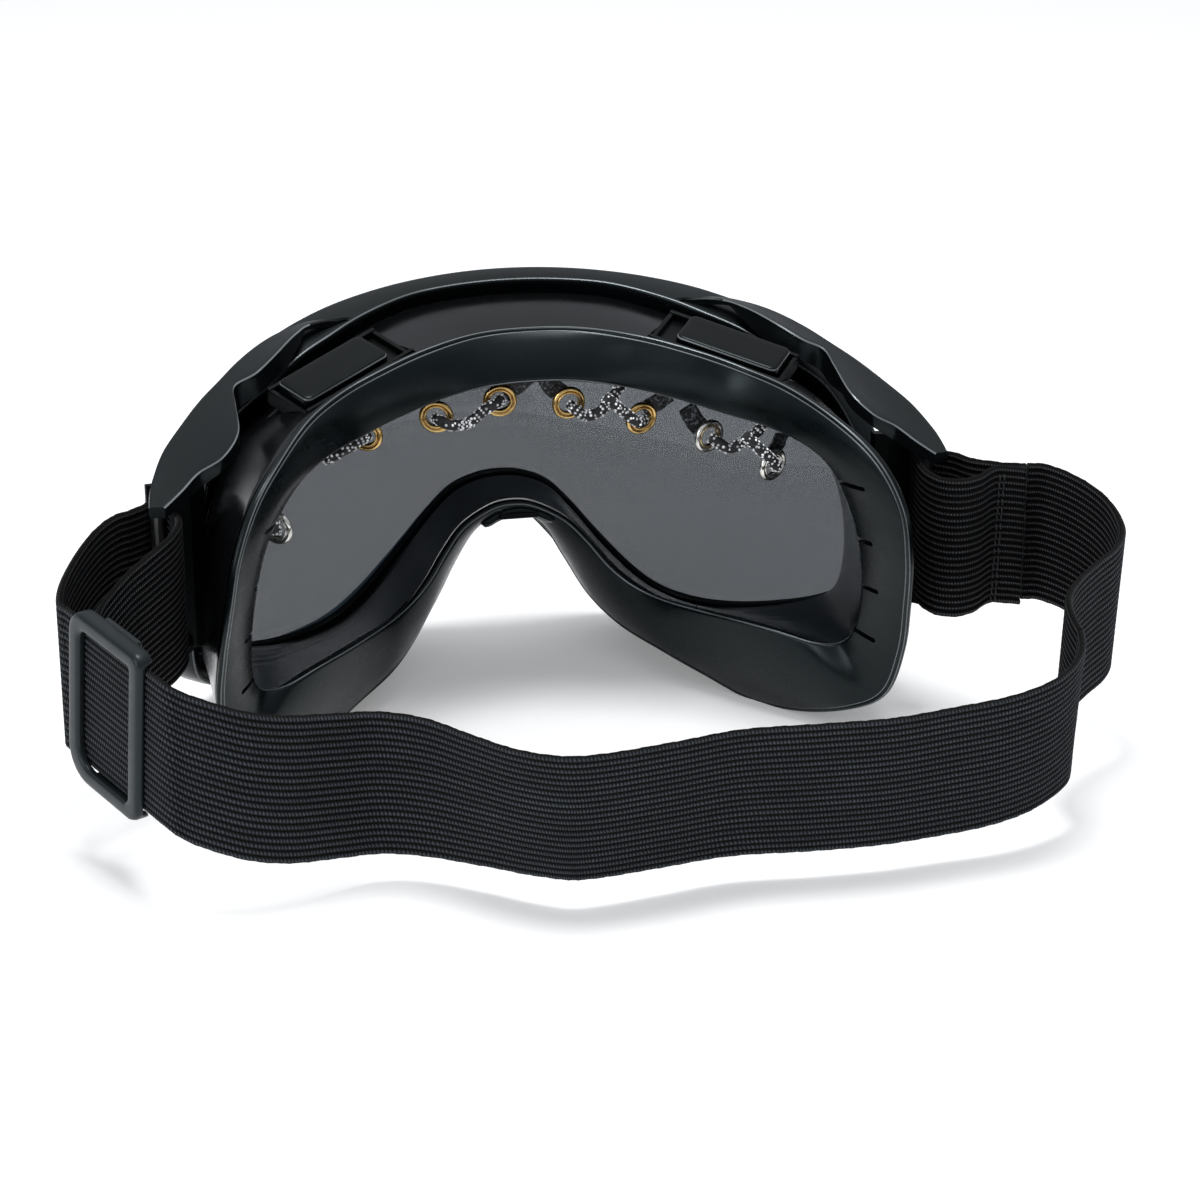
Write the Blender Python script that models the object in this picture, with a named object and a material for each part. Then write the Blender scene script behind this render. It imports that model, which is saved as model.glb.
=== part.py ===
"""Welding goggles with a wrap-round lens, a soft face seal, sliding brow vents, a laced crystal trim inside the
lens opening and an elastic head strap with an adjuster buckle.

Everything is laid out in a goggle frame in millimetres: X to the wearer's right, Y forward, Z up, symmetric about
X = 0, with Y = 0 and Z = 0 at the lower temple slots of the face seal. One empty carries that frame and stands the
goggles on the ground plane, with the middle of the whole object's box over the world origin.
"""

import math

import bmesh
import bpy
import numpy as np
from mathutils import Vector

MM = 0.001

# ---- driving dimensions, millimetres ----
GROUND = -25.3  # height of the ground below the lower temple slots
FRAME_AT = (-6.61, -1.17, 25.3)  # where the goggle frame's origin stands in the world

LENS_RADIUS = 88.0  # horizontal radius of the wrap-round lens
FRONT_TILT = math.radians(14.0)  # the lens leans back towards the brow
FRONT_Y, FRONT_Z = 79.0, 10.0  # a point of the lens's outer face on the mid-plane
LENS_THICK = 1.4
INNER_LENS_THICK = 1.0
RIM_REAR = -4.6  # depth of the front frame's rear face behind the lens's outer face
GAP = 0.35

SEAL_THICK = 1.6
SHELL_THICK = 1.8
SHROUD_THICK = 1.3
SLOT_WIDTH = 0.9

STRAP_WIDTH = 32.0
STRAP_THICK = 1.5
PIN_X, PIN_Y, PIN_R = 84.8, 9.6, 1.5

VENT_LONG, VENT_SHORT, VENT_RISE = 24.2, 10.0, 3.4
VENT_TRAVEL = 4.0
VENT_HOLES, VENT_HOLE_D, VENT_PITCH = 11, 1.05, 2.0

EYELET_OD, EYELET_ID, EYELET_THICK = 6.8, 3.9, 1.1
LACE_D = 2.9
RIBBON_WIDE, RIBBON_THICK = 4.4, 0.7

BUCKLE_LONG, BUCKLE_HIGH = 27.0, 38.0

STEPS = 2  # stations between two rows of the outline tables

for old in list(bpy.data.objects):
    bpy.data.objects.remove(old, do_unlink=True)


# ---- materials ----
def material(name, colour, roughness, metallic=0.0, alpha=1.0, transmission=0.0):
    mat = bpy.data.materials.new(name)
    mat.use_nodes = True
    shader = mat.node_tree.nodes["Principled BSDF"]
    shader.inputs["Base Color"].default_value = (*colour, 1.0)
    shader.inputs["Roughness"].default_value = roughness
    shader.inputs["Metallic"].default_value = metallic
    shader.inputs["Alpha"].default_value = alpha
    shader.inputs["Transmission Weight"].default_value = transmission
    mat.diffuse_color = (*colour, alpha)
    return mat


FRAME_PLASTIC = material("frame_plastic", (0.035, 0.042, 0.045), 0.38)
SHELL_PLASTIC = material("shell_plastic", (0.03, 0.031, 0.036), 0.3)
SEAL_TPU = material("seal_tpu", (0.045, 0.05, 0.053), 0.5)
GASKET = material("gasket_rubber", (0.02, 0.02, 0.02), 0.7)
SMOKE = material("smoke_lens", (0.2, 0.22, 0.26), 0.04, alpha=0.45, transmission=0.6)
CLEAR = material("clear_lens", (0.8, 0.82, 0.85), 0.03, alpha=0.2, transmission=0.9)
WEBBING = material("strap_webbing", (0.03, 0.032, 0.036), 0.85)
BUCKLE_PLASTIC = material("buckle_plastic", (0.055, 0.065, 0.07), 0.42)
BRASS = material("eyelet_brass", (0.78, 0.55, 0.2), 0.2, 1.0)
NICKEL = material("eyelet_nickel", (0.75, 0.74, 0.7), 0.18, 1.0)
LACE = material("crystal_lace", (0.35, 0.36, 0.38), 0.3)
RIBBON = material("glitter_ribbon", (0.04, 0.045, 0.05), 0.6)
STEEL = material("pin_steel", (0.5, 0.5, 0.5), 0.3, 1.0)
FOAM = material("filter_foam", (0.03, 0.03, 0.03), 0.95)

base = bpy.data.objects.new("goggle_frame", None)
base.location = Vector(FRAME_AT) * MM
bpy.context.scene.collection.objects.link(base)


# ---- helpers ----
def add(name, verts, faces, mat, sharp=35.0, at=(0.0, 0.0, 0.0)):
    """A mesh object from points in the goggle frame (mm), with its own origin at `at`, facing out."""
    bm = bmesh.new()
    origin = np.asarray(at, float)
    made = [bm.verts.new(Vector((np.asarray(v, float) - origin) * MM)) for v in verts]
    for face in faces:
        bm.faces.new([made[i] for i in face])
    bmesh.ops.recalc_face_normals(bm, faces=bm.faces)
    if bm.calc_volume(signed=True) < 0:
        bmesh.ops.reverse_faces(bm, faces=bm.faces)
    mesh = bpy.data.meshes.new(name)
    bm.to_mesh(mesh)
    bm.free()
    mesh.materials.append(mat)
    mesh.shade_smooth()
    mesh.set_sharp_from_angle(angle=math.radians(sharp))
    obj = bpy.data.objects.new(name, mesh)
    obj.location = Vector(origin) * MM
    obj.parent = base
    bpy.context.scene.collection.objects.link(obj)
    return obj


def catmull(points, u):
    """A Catmull-Rom curve through rows of control points, at row number u."""
    i = int(min(max(math.floor(u), 1), len(points) - 3))
    t = u - i
    p0, p1, p2, p3 = points[i - 1], points[i], points[i + 1], points[i + 2]
    return 0.5 * (
        2 * p1 + (p2 - p0) * t + (2 * p0 - 5 * p1 + 4 * p2 - p3) * t**2 + (3 * p1 - p0 - 3 * p2 + p3) * t**3
    )


def outline(rows, steps=STEPS):
    """A closed loop from rows that run down the right side, from the brow's middle to the nose's middle."""
    rows = np.asarray(rows, float)
    flip = np.ones(rows.shape[1])
    flip[0] = -1.0
    ends = np.vstack([rows[1] * flip, rows, rows[-2] * flip])
    count = (len(rows) - 1) * steps
    right = np.array([catmull(ends, 1 + k / steps) for k in range(count + 1)])
    right[0, 0] = right[-1, 0] = 0.0
    left = right[1:-1][::-1] * flip
    return np.vstack([right, left])


def open_curve(points, count):
    """Evenly spaced points on a smooth open curve through the control points."""
    pts = np.asarray(points, float)
    ends = np.vstack([2 * pts[0] - pts[1], pts, 2 * pts[-1] - pts[-2]])
    fine = np.array([catmull(ends, 1 + k / 12) for k in range((len(pts) - 1) * 12 + 1)])
    along = np.concatenate([[0], np.cumsum(np.linalg.norm(np.diff(fine[:, :3], axis=0), axis=1))])
    wanted = np.linspace(0, along[-1], count)
    return np.stack([np.interp(wanted, along, fine[:, k]) for k in range(fine.shape[1])], 1)


def unit(v):
    v = np.asarray(v, float)
    return v / np.linalg.norm(v, axis=-1, keepdims=True)


def ring_faces(stations, points, closed=True):
    faces = []
    for i in range(stations if closed else stations - 1):
        j = (i + 1) % stations
        for k in range(points):
            m = (k + 1) % points
            faces.append((i * points + k, i * points + m, j * points + m, j * points + k))
    if not closed:
        faces.append(tuple(range(points)))
        faces.append(tuple((stations - 1) * points + k for k in range(points)))
    return faces


def loft(name, sections, mat, closed=True, **more):
    sections = np.asarray(sections, float)
    stations, points = sections.shape[:2]
    return add(name, sections.reshape(-1, 3), ring_faces(stations, points, closed), mat, **more)


def tangents(loop, closed=True):
    if closed:
        return unit(np.roll(loop, -1, axis=0) - np.roll(loop, 1, axis=0))
    ahead = np.vstack([loop[1:], 2 * loop[-1] - loop[-2]])
    behind = np.vstack([2 * loop[0] - loop[1], loop[:-1]])
    return unit(ahead - behind)


def box_in(name, centre, a, b, c, size, mat):
    """A box along three unit directions, `size` its full lengths."""
    centre, a, b, c = (np.asarray(v, float) for v in (centre, a, b, c))
    verts = [
        centre + a * sa * size[0] / 2 + b * sb * size[1] / 2 + c * sc * size[2] / 2
        for sa in (-1, 1)
        for sb in (-1, 1)
        for sc in (-1, 1)
    ]
    faces = [(0, 1, 3, 2), (4, 6, 7, 5), (0, 4, 5, 1), (2, 3, 7, 6), (0, 2, 6, 4), (1, 5, 7, 3)]
    return add(name, verts, faces, mat)


def cutter(obj):
    obj.hide_render = True
    obj.display_type = "WIRE"
    return obj


def cut(obj, tool):
    step = obj.modifiers.new("cut_" + tool.name, "BOOLEAN")
    step.operation = "DIFFERENCE"
    step.solver = "EXACT"
    step.object = tool


def join(obj, tool):
    step = obj.modifiers.new("join_" + tool.name, "BOOLEAN")
    step.operation = "UNION"
    step.solver = "EXACT"
    step.object = tool


def mirrored(point):
    return np.asarray(point, float) * np.array([-1.0, 1.0, 1.0])


def front(x, w, off):
    """A point on the front frame: x and height w on the lens's outer face, then `off` out along its normal."""
    phi = np.arcsin(np.clip(np.asarray(x, float) / LENS_RADIUS, -0.999, 0.999))
    return front_arc(phi * LENS_RADIUS, w, off)


def front_arc(s, w, off):
    phi = np.asarray(s, float) / LENS_RADIUS
    n = (LENS_RADIUS + off) * np.cos(phi) - LENS_RADIUS
    return np.stack(
        [
            (LENS_RADIUS + off) * np.sin(phi),
            FRONT_Y + n * math.cos(FRONT_TILT) - w * math.sin(FRONT_TILT),
            FRONT_Z + n * math.sin(FRONT_TILT) + w * math.cos(FRONT_TILT),
        ],
        -1,
    )


def to_arc(rows):
    rows = np.asarray(rows, float).copy()
    rows[:, 0] = LENS_RADIUS * np.arcsin(rows[:, 0] / LENS_RADIUS)
    return rows


# ---- outline tables: 24 rows from the brow's middle, down the temple and cheek, to the nose's middle ----
SEAL_OUTER = [
    (0, 36, 63.8), (12, 34.2, 63.6), (24, 27.4, 62.8), (35, 21, 60.6), (44.4, 15.5, 57.8), (52.6, 5.5, 55.4),
    (60, -7, 51.2), (66.3, -16, 44.8), (70.6, -20.5, 35), (72.7, -19.4, 23), (74.2, -14.6, 10.5), (74.8, -10, -2),
    (72.6, -5.8, -13.6), (66.3, -0.5, -19), (58.5, 12, -24.2), (50, 24.5, -26), (40.5, 32.2, -22), (31.5, 38.6, -17.6),
    (24.6, 51, -15.6), (18.8, 60.2, -10.8), (13.3, 62.6, -1.6), (8.3, 61.2, 7), (3.6, 60, 11), (0, 59.8, 11.8),
]
SEAL_INNER = [
    (0, 29.5, 53.2), (10.5, 28.7, 52.8), (21, 25.8, 51.3), (31, 21.2, 49.3), (40, 16.5, 47), (48, 9, 45.8),
    (54.5, 1.3, 43.6), (59, -3, 39.6), (63, -3.4, 31.5), (65.6, -4, 22), (66.9, -2.8, 11), (66.7, 0.3, 1),
    (64.5, 3.6, -4), (59, 6, -4.6), (51, 12, -3.4), (43.8, 19.2, -3.1), (37.5, 28, -3.7), (31, 37, -3.9),
    (25.2, 42.8, -2), (20.6, 46.3, 1.5), (16.3, 49.6, 6.6), (11.6, 53, 11), (5, 54.6, 14.4), (0, 55, 15.2),
]
LENS_EDGE = [
    (0, 54.8), (15, 54.6), (30, 53.8), (44, 52), (56, 49), (66, 43.6),
    (73, 36.4), (77, 28), (79, 17), (79.4, 6), (78.4, -3.4), (74.8, -11),
    (69.5, -17.5), (62, -23.4), (54, -27), (46, -28), (39, -26.6), (32.5, -22.6),
    (26.5, -17), (21, -11), (16, -5), (10.5, 0.8), (5, 3.3), (0, 3.9),
]
RIM_EDGE = [
    (0, 60.9), (15.5, 60.7), (31, 60.1), (45, 59), (57.5, 56.6), (68, 51.2),
    (75.3, 42.6), (79.4, 31.5), (81.4, 18.5), (81.9, 5.5), (80.8, -6), (77, -14.9),
    (71.5, -22), (63.5, -29), (55, -33.2), (45.5, -34.6), (37, -32.6), (29.8, -28),
    (23.4, -22), (17.8, -15.8), (12.9, -9.6), (8.2, -4.4), (3.8, -1.8), (0, -1.3),
]

lens_loop = outline(to_arc(LENS_EDGE))
rim_loop = outline(to_arc(RIM_EDGE))
rim_way = unit(rim_loop - lens_loop)
rim_span = np.linalg.norm(rim_loop - lens_loop, axis=1, keepdims=True)
seal_out = outline(SEAL_OUTER)
seal_in = outline(SEAL_INNER)
COUNT = len(lens_loop)


def on_front(loop, off):
    return front_arc(loop[:, 0], loop[:, 1], off)


# ---- front frame: an L-section rim round the lens ----
def rim_depth(loop):
    """The rim's rear face is deeper over the outer brow, where the strap arms leave it."""
    x = np.abs(loop[:, 0])
    upper = 1 / (1 + np.exp(-(loop[:, 1] - 44) / 2.0))
    return RIM_REAR - 4.2 * upper * np.clip((x - 24) / 26, 0, 1) * np.clip((82 - x) / 10, 0, 1)


def rim_sections():
    rear = rim_depth(rim_loop)
    lip = lens_loop - rim_way * 2.2
    wall = lens_loop + rim_way * 0.45
    crown = lens_loop + rim_way * (rim_span * 0.5)
    shoulder = rim_loop - rim_way * 0.7
    parts = [
        front_arc(lip[:, 0], lip[:, 1], 1.3 + 0 * rear),
        front_arc(crown[:, 0], crown[:, 1], 2.6 + 0 * rear),
        front_arc(shoulder[:, 0], shoulder[:, 1], 1.9 + 0 * rear),
        front_arc(rim_loop[:, 0], rim_loop[:, 1], 0.6 + 0 * rear),
        front_arc(rim_loop[:, 0], rim_loop[:, 1], rear),
        front_arc(wall[:, 0], wall[:, 1], rear),
        front_arc(wall[:, 0], wall[:, 1], 0.35 + 0 * rear),
        front_arc(lip[:, 0], lip[:, 1], 0.35 + 0 * rear),
    ]
    sections = np.stack(parts, 1)
    sections[:, :, 2] = np.maximum(sections[:, :, 2], GROUND)
    return sections


rim = loft("front_frame", rim_sections(), FRAME_PLASTIC)


# ---- lenses ----
def sheet_grid(edge, inset, columns, rows):
    """Arc positions on the lens between its top and bottom edges, drawn in by `inset`."""
    half = len(edge) // 2
    right = edge[: half + 1]
    widest = int(np.argmax(right[:, 0]))
    top, bottom = right[: widest + 1], right[widest:][::-1]
    reach = right[widest, 0] - inset
    grid = []
    for j in range(-columns, columns + 1):
        s = reach * math.sin(math.pi / 2 * j / columns)
        a = abs(s) * right[widest, 0] / reach
        high = np.interp(a, top[:, 0], top[:, 1]) - inset
        low = np.interp(a, bottom[:, 0], bottom[:, 1]) + inset
        if high - low < 3.0:
            middle = (high + low) / 2
            high, low = middle + 1.5, middle - 1.5
        grid.append([(s, low + (high - low) * i / rows) for i in range(rows + 1)])
    return np.array(grid)


def lens(name, inset, outer, thick, columns, rows, mat):
    grid = sheet_grid(lens_loop, inset, columns, rows)
    n, m = grid.shape[:2]
    face = front_arc(grid[..., 0], grid[..., 1], outer).reshape(-1, 3)
    back = front_arc(grid[..., 0], grid[..., 1], outer - thick).reshape(-1, 3)
    verts = np.vstack([face, back])
    faces = []
    for i in range(n - 1):
        for j in range(m - 1):
            a, b, c, d = i * m + j, (i + 1) * m + j, (i + 1) * m + j + 1, i * m + j + 1
            faces += [(a, b, c, d), (a + n * m, d + n * m, c + n * m, b + n * m)]
    edge = [i * m for i in range(n)] + [(n - 1) * m + j for j in range(1, m)]
    edge += [i * m + m - 1 for i in range(n - 2, -1, -1)] + [j for j in range(m - 2, 0, -1)]
    for k, a in enumerate(edge):
        b = edge[(k + 1) % len(edge)]
        faces.append((a, b, b + n * m, a + n * m))
    return add(name, verts, faces, mat)


lens("outer_lens", 0.55, 0.0, LENS_THICK, 15, 6, SMOKE)
lens("inner_lens", 1.8, -4.0, INNER_LENS_THICK, 12, 5, CLEAR)

inner_edge = lens_loop - rim_way * 4.2
outer_edge = lens_loop - rim_way * 0.5
loft(
    "lens_gasket",
    np.stack(
        [
            on_front(outer_edge, -1.75), on_front(inner_edge, -1.75),
            on_front(inner_edge, -3.65), on_front(outer_edge, -3.65),
        ],
        1,
    ),
    GASKET,
)

# ---- face seal: a thin band round the eye opening, bowed a little towards the face ----
across = unit(seal_in - seal_out)
width = np.linalg.norm(seal_in - seal_out, axis=1, keepdims=True)
along_seal = tangents(seal_out + 0.5 * (seal_in - seal_out))
forward = unit(np.cross(along_seal, across))


def seal_point(share, depth):
    bow = 4 * share * (1 - share) * np.minimum(width, 18) * 0.07
    return seal_out + (seal_in - seal_out) * share + forward * (depth - bow)


seal_sections = np.stack(
    [
        seal_point(0.0, 0.45), seal_point(0.03, 0.0), seal_point(0.5, 0.0), seal_point(0.98, 0.0),
        seal_point(1.0, 0.5), seal_point(0.98, SEAL_THICK), seal_point(0.5, SEAL_THICK), seal_point(0.02, SEAL_THICK),
    ],
    1,
)
seal_sections[:, :, 2] = np.maximum(seal_sections[:, :, 2], GROUND)
seal = loft("face_seal", seal_sections, SEAL_TPU)

# flex slots at the temples: from a point on the opening's edge outwards
SLOTS = [((60.6, -5.0, 36.8), (66.6, -8.6, 37.6)), ((65.5, -3.6, 23.4), (69.0, -9.2, 24.2)),
         ((67.0, -3.2, 12.0), (70.3, -8.0, 12.2)), ((66.6, 0.0, 0.2), (70.3, -5.0, -0.8))]
for number, (inner, outer) in enumerate(SLOTS, 1):
    for side, flip in (("right", 1), ("left", -1)):
        p, q = (np.array(v, float) * np.array([flip, 1, 1]) for v in (inner, outer))
        run = unit(q - p)
        up = unit(np.array([0, 0, 1.0]) - run * run[2])
        deep = np.cross(run, up)
        tool = cutter(box_in(f"slot_tool_{side}_{number}", (p + q) / 2 - run * 0.8, run, up, deep,
                             (np.linalg.norm(q - p) + 1.6, SLOT_WIDTH, 9.0), SEAL_TPU))
        cut(seal, tool)

# ---- body shell: outer skin from the seal's rim to the front frame ----
shell_rear = seal_out + across * 1.0 + forward * (SEAL_THICK + GAP) - forward * 0
shell_rear_in = shell_rear + across * SHELL_THICK
share = 0.47
shell_front = on_front(lens_loop + rim_way * (rim_span * share), -5.2) + 0
rear_off = rim_depth(rim_loop) - 0.45
shell_front = front_arc(*(lens_loop + rim_way * (rim_span * share)).T, rear_off)
shell_front_in = front_arc(*(lens_loop + rim_way * (rim_span * share - SHELL_THICK)).T, rear_off)


def between(a, b, t, outwards):
    return a + (b - a) * t + outwards


centre_line = np.array([0, 40.0, 20.0])


def bulge(a, b, amount):
    middle = (a + b) / 2 - centre_line
    middle[:, 1] = 0
    return unit(middle) * amount


swell = bulge(shell_rear, shell_front, 1.0)
shell = loft(
    "body_shell",
    np.stack(
        [
            shell_rear,
            between(shell_rear, shell_front, 0.35, swell * 0.8), between(shell_rear, shell_front, 0.7, swell * 0.7),
            shell_front, shell_front_in,
            between(shell_rear_in, shell_front_in, 0.7, swell * 0.7), between(shell_rear_in, shell_front_in, 0.35, swell * 0.8),
            shell_rear_in,
        ],
        1,
    ),
    SHELL_PLASTIC,
)

# ---- inner shroud: from the opening's edge forward to the inner lens ----
back_off = 0.6 + 2.6 / (1 + np.exp(-(seal_in[:, 2:3] - 38) / 3))
shroud_rear_in = seal_in - across * back_off + forward * (SEAL_THICK + GAP)
shroud_rear = seal_in - across * (back_off + SHROUD_THICK) + forward * (SEAL_THICK + GAP)
shroud_front_in = on_front(lens_loop - rim_way * 4.6, -5.6)
shroud_front = on_front(lens_loop - rim_way * (4.6 - SHROUD_THICK), -5.6)
loft(
    "inner_shroud",
    np.stack(
        [
            shroud_rear, shroud_front, shroud_front_in, shroud_rear_in,
        ],
        1,
    ),
    SHELL_PLASTIC,
)

# ---- strap arms: one each side, from the outer brow back to a blunt tip over the strap pin ----
ARM_FRONT = [(46.5, 48.4, 64.9), (51, 46.2, 64.0), (57, 42.6, 62.2), (63.5, 37.2, 60.2), (68.6, 32.0, 57.6), (73.4, 27.4, 54.6),
             (78, 21.8, 51.4), (82.6, 15.4, 47.2), (85.4, 8.8, 44), (86.5, 4.7, 42.3), (87, 0.8, 40.6)]
ARM_REAR = [(46.5, 45.2, 64.9), (50.4, 40.2, 64.0), (55.6, 32.6, 62.4), (60.6, 28.0, 60.4), (65.6, 27.2, 57.6), (66.2, 20.2, 55.4),
            (66.8, 9.6, 52.6), (70.4, 5.0, 49.6), (75.7, 4.9, 45.6), (79.6, 2.3, 42.9), (83.7, -0.4, 40.7)]
for side, flip in (("right", 1), ("left", -1)):
    f = open_curve(np.array(ARM_FRONT) * [flip, 1, 1], 23)
    r = open_curve(np.array(ARM_REAR) * [flip, 1, 1], 23)
    t = np.linspace(0, 1, 23)[:, None]
    thick = 1.5 + 2.0 * np.clip((t - 0.35) * 2.5, 0, 1) * np.clip((1.3 - t) * 2, 0, 1)
    lean = unit(f - r) * 0.5
    down = np.array([0, 0, -1.0])
    low_f, low_r = f + down * thick, r + down * thick
    arm = loft(
        f"strap_arm_{side}",
        np.stack([f - lean, f + down * 0.5, low_f, low_r, r + down * 0.5, r + lean], 1),
        FRAME_PLASTIC,
        closed=False,
    )
    # web and lower lug: a bracket behind the frame's side that carries the pin's lower end
    x = 82.0 * flip
    lug = [(82.4, 14.9), (87.2, 13.4), (88.6, 9.6), (86.9, 5.6), (83.6, 5.2), (80.6, 8.0), (78.2, 12.4), (78.6, 15.2)]
    verts = [(px * flip, py, 2.6) for px, py in lug] + [(px * flip, py, 5.4) for px, py in lug]
    n = len(lug)
    faces = [tuple(range(n)), tuple(range(n, 2 * n))] + [(k, (k + 1) % n, (k + 1) % n + n, k + n) for k in range(n)]
    bracket = add(f"pin_bracket_{side}", verts, faces, FRAME_PLASTIC)
    web = add(
        f"web_{side}",
        [(px * flip, py, pz) for px, py, pz in (
            (78.4, 11.9, 4.4), (80.7, 14.4, 4.4), (82.2, 14.6, 4.4), (82.2, 13.7, 4.4), (80.0, 11.2, 4.4),
            (78.6, 11.6, 39.4), (80.2, 13.2, 39.4), (81.6, 13.4, 39.4), (81.6, 12.9, 39.4), (80.0, 10.9, 39.4))],
        [(0, 1, 2, 3, 4), (5, 6, 7, 8, 9)] + [(k, (k + 1) % 5, (k + 1) % 5 + 5, k + 5) for k in range(5)],
        FRAME_PLASTIC,
    )
    join(bracket, cutter(web))


def rod(name, low, high, radius, mat, sides=12):
    low, high = np.asarray(low, float), np.asarray(high, float)
    axis = unit(high - low)
    p = unit(np.cross(axis, [0.31, 0.2, 0.93] if abs(axis[2]) < 0.9 else [1, 0, 0]))
    q = np.cross(axis, p)
    angles = np.arange(sides) * 2 * math.pi / sides
    circle = radius * (np.cos(angles)[:, None] * p + np.sin(angles)[:, None] * q)
    return loft(name, np.stack([low + circle, high + circle]), mat, closed=False)


for side, flip in (("right", 1), ("left", -1)):
    rod(f"strap_pin_{side}", (PIN_X * flip, PIN_Y, 5.8), (PIN_X * flip, PIN_Y, 39.4), PIN_R, STEEL)

# ---- brow vents: a tray let into the shell, a perforated rear grille and a cap that slides in the tray ----
vent_a = unit([19.65, -12.95, -5.5])
vent_b0 = np.array([3.05, 9.05, 3.1])
vent_b = unit(vent_b0 - vent_a * np.dot(vent_b0, vent_a))
vent_c = np.cross(vent_a, vent_b)
vent_at = np.array([44.5, 25.1, 60.75])
for side, flip in (("right", 1), ("left", -1)):
    s = np.array([flip, 1, 1.0])
    a, b, c, at = vent_a * s, vent_b * s, vent_c * s, vent_at * s
    inside = VENT_LONG + 0.4 + VENT_TRAVEL + 0.5
    shift = (0.4 - VENT_TRAVEL - 0.5) / 2
    deep = VENT_SHORT + 0.8
    tray_at = at + a * shift

    def corner(u, v, h, o=tray_at, a=a, b=b, c=c):
        return o + a * u + b * v + c * h

    # U-shaped tray: floor, two end walls and a front wall, open to the rear
    wall, low, floor, high = 1.1, -6.2, -VENT_RISE - 0.35, -0.9
    u0, u1 = inside / 2, inside / 2 + wall
    v0, v1, v2 = -deep / 2 - 0.1, deep / 2, deep / 2 + wall
    plan = [(-u1, v0), (-u0, v0), (-u0, v1), (u0, v1), (u0, v0), (u1, v0), (u1, v2), (-u1, v2)]
    verts = [corner(u, v, low) for u, v in plan] + [corner(u, v, high) for u, v in plan]
    n = len(plan)
    walls = add(f"vent_walls_{side}", verts,
                [(0, 7, 2, 1), (7, 6, 3, 2), (6, 5, 4, 3), (8, 9, 10, 15), (15, 10, 11, 14), (14, 11, 12, 13)]
                + [(k, (k + 1) % n, (k + 1) % n + n, k + n) for k in range(n)], FRAME_PLASTIC)
    tray = box_in(f"vent_tray_{side}", corner(0, (v0 + v2) / 2, (low + floor) / 2), a, b, c,
                  (2 * u1 - 0.02, v2 - v0 - 0.02, floor - low), FRAME_PLASTIC)
    join(tray, cutter(walls))

    plate_v = v0 - 0.35 - 0.45
    plate = box_in(f"vent_grille_{side}", corner(0, plate_v, (low - 0.9) / 2 - 0.1), a, b, c, (2 * u1, 0.9, high - low - 0.2), FRAME_PLASTIC)
    for k in range(VENT_HOLES):
        u = (k - (VENT_HOLES - 1) / 2) * VENT_PITCH + (inside / 2 - VENT_LONG / 2) * 0.4
        tool = cutter(rod(f"perforation_{side}_{k}", corner(u, plate_v - 2, -2.1), corner(u, plate_v + 2, -2.1), VENT_HOLE_D / 2, FRAME_PLASTIC, 8))
        cut(plate, tool)

    # the cap: a block with a bevelled top
    e, t = 0.9, 0.7
    l, w = VENT_LONG / 2, VENT_SHORT / 2
    rings = [(l, w, -VENT_RISE), (l, w, -t), (l - e * 0.45, w - e * 0.45, -t * 0.3), (l - e, w - e, 0.0)]
    verts = [at + a * (u * p) + b * (v * q) + c * h for u, v, h in rings for p, q in ((-1, -1), (1, -1), (1, 1), (-1, 1))]
    faces = [(0, 1, 2, 3), (12, 13, 14, 15)]
    for k in range(3):
        for m in range(4):
            p, q = 4 * k + m, 4 * k + (m + 1) % 4
            faces.append((p, q, q + 4, p + 4))
    add(f"vent_cap_{side}", verts, faces, FRAME_PLASTIC, sharp=50, at=at)

    well = cutter(box_in(f"vent_well_{side}", corner(0, (plate_v - 0.45 + v2) / 2, -3), a, b, c,
                         (2 * u1 + 0.8, v2 - plate_v + 0.45 + 0.8, 12), SHELL_PLASTIC))
    cut(shell, well)
    # filter foam under the tray, in the hollow between shell and shroud
    box_in(f"vent_foam_{side}", corner(0.0, 0.6, low - 0.4 - 1.2), a, b, c, (22.0, 6.0, 2.4), FOAM)

# ---- nose bridge: a small moulded pad on the seal's crown with a harder insert behind it ----
pad_path = open_curve([(-8.6, 49.2, 12.6), (-4.5, 50.6, 14.4), (0, 51.2, 15.1), (4.5, 50.6, 14.4), (8.6, 49.2, 12.6)], 11)
pad_normal = np.array([unit([-p[0] * 0.12, -0.35, -0.93]) for p in pad_path])
pad_front = np.array([0, 1.0, -0.32])
pad_sections = []
for p, nrm in zip(pad_path, pad_normal):
    fore = unit(pad_front)
    pad_sections.append([p, p + fore * 2.6, p + fore * 2.6 + nrm * 1.5, p + fore * 1.2 + nrm * 2.0, p + nrm * 1.5])
loft("nose_pad", pad_sections, SEAL_TPU, closed=False)
insert = []
for p, nrm in zip(pad_path[3:9], pad_normal[3:9]):
    base_p = p - unit(pad_front) * 2.1 - nrm * 0.2
    insert.append([base_p, base_p + unit(pad_front) * 1.7, base_p + unit(pad_front) * 1.7 + nrm * 1.4, base_p + nrm * 1.4])
loft("nose_insert", insert, FRAME_PLASTIC, closed=False)

# ---- laced trim inside the lens opening: eyelets, crystal laces and glitter ribbons ----
EYELETS = [
    ("eyelet_1", (-60.2, 4.6, 32.4), NICKEL), ("eyelet_2", (-38.2, 22.8, 45.6), BRASS), ("eyelet_3", (-21.5, 30.3, 46.2), BRASS),
    ("eyelet_4", (-6.6, 33.8, 47.8), BRASS), ("eyelet_5", (8.9, 33.6, 46.3), BRASS), ("eyelet_6", (24.5, 29.1, 43.1), BRASS),
    ("eyelet_7", (38.4, 22.2, 40.2), NICKEL), ("eyelet_8", (50.3, 11.8, 36.2), NICKEL),
]


def trim_facing(x):
    """The trim faces back and a little down, turning with the brow."""
    return unit([-math.sin(math.radians(x * 0.62)) * -1.0, -math.cos(math.radians(x * 0.62)), -0.12])


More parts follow.
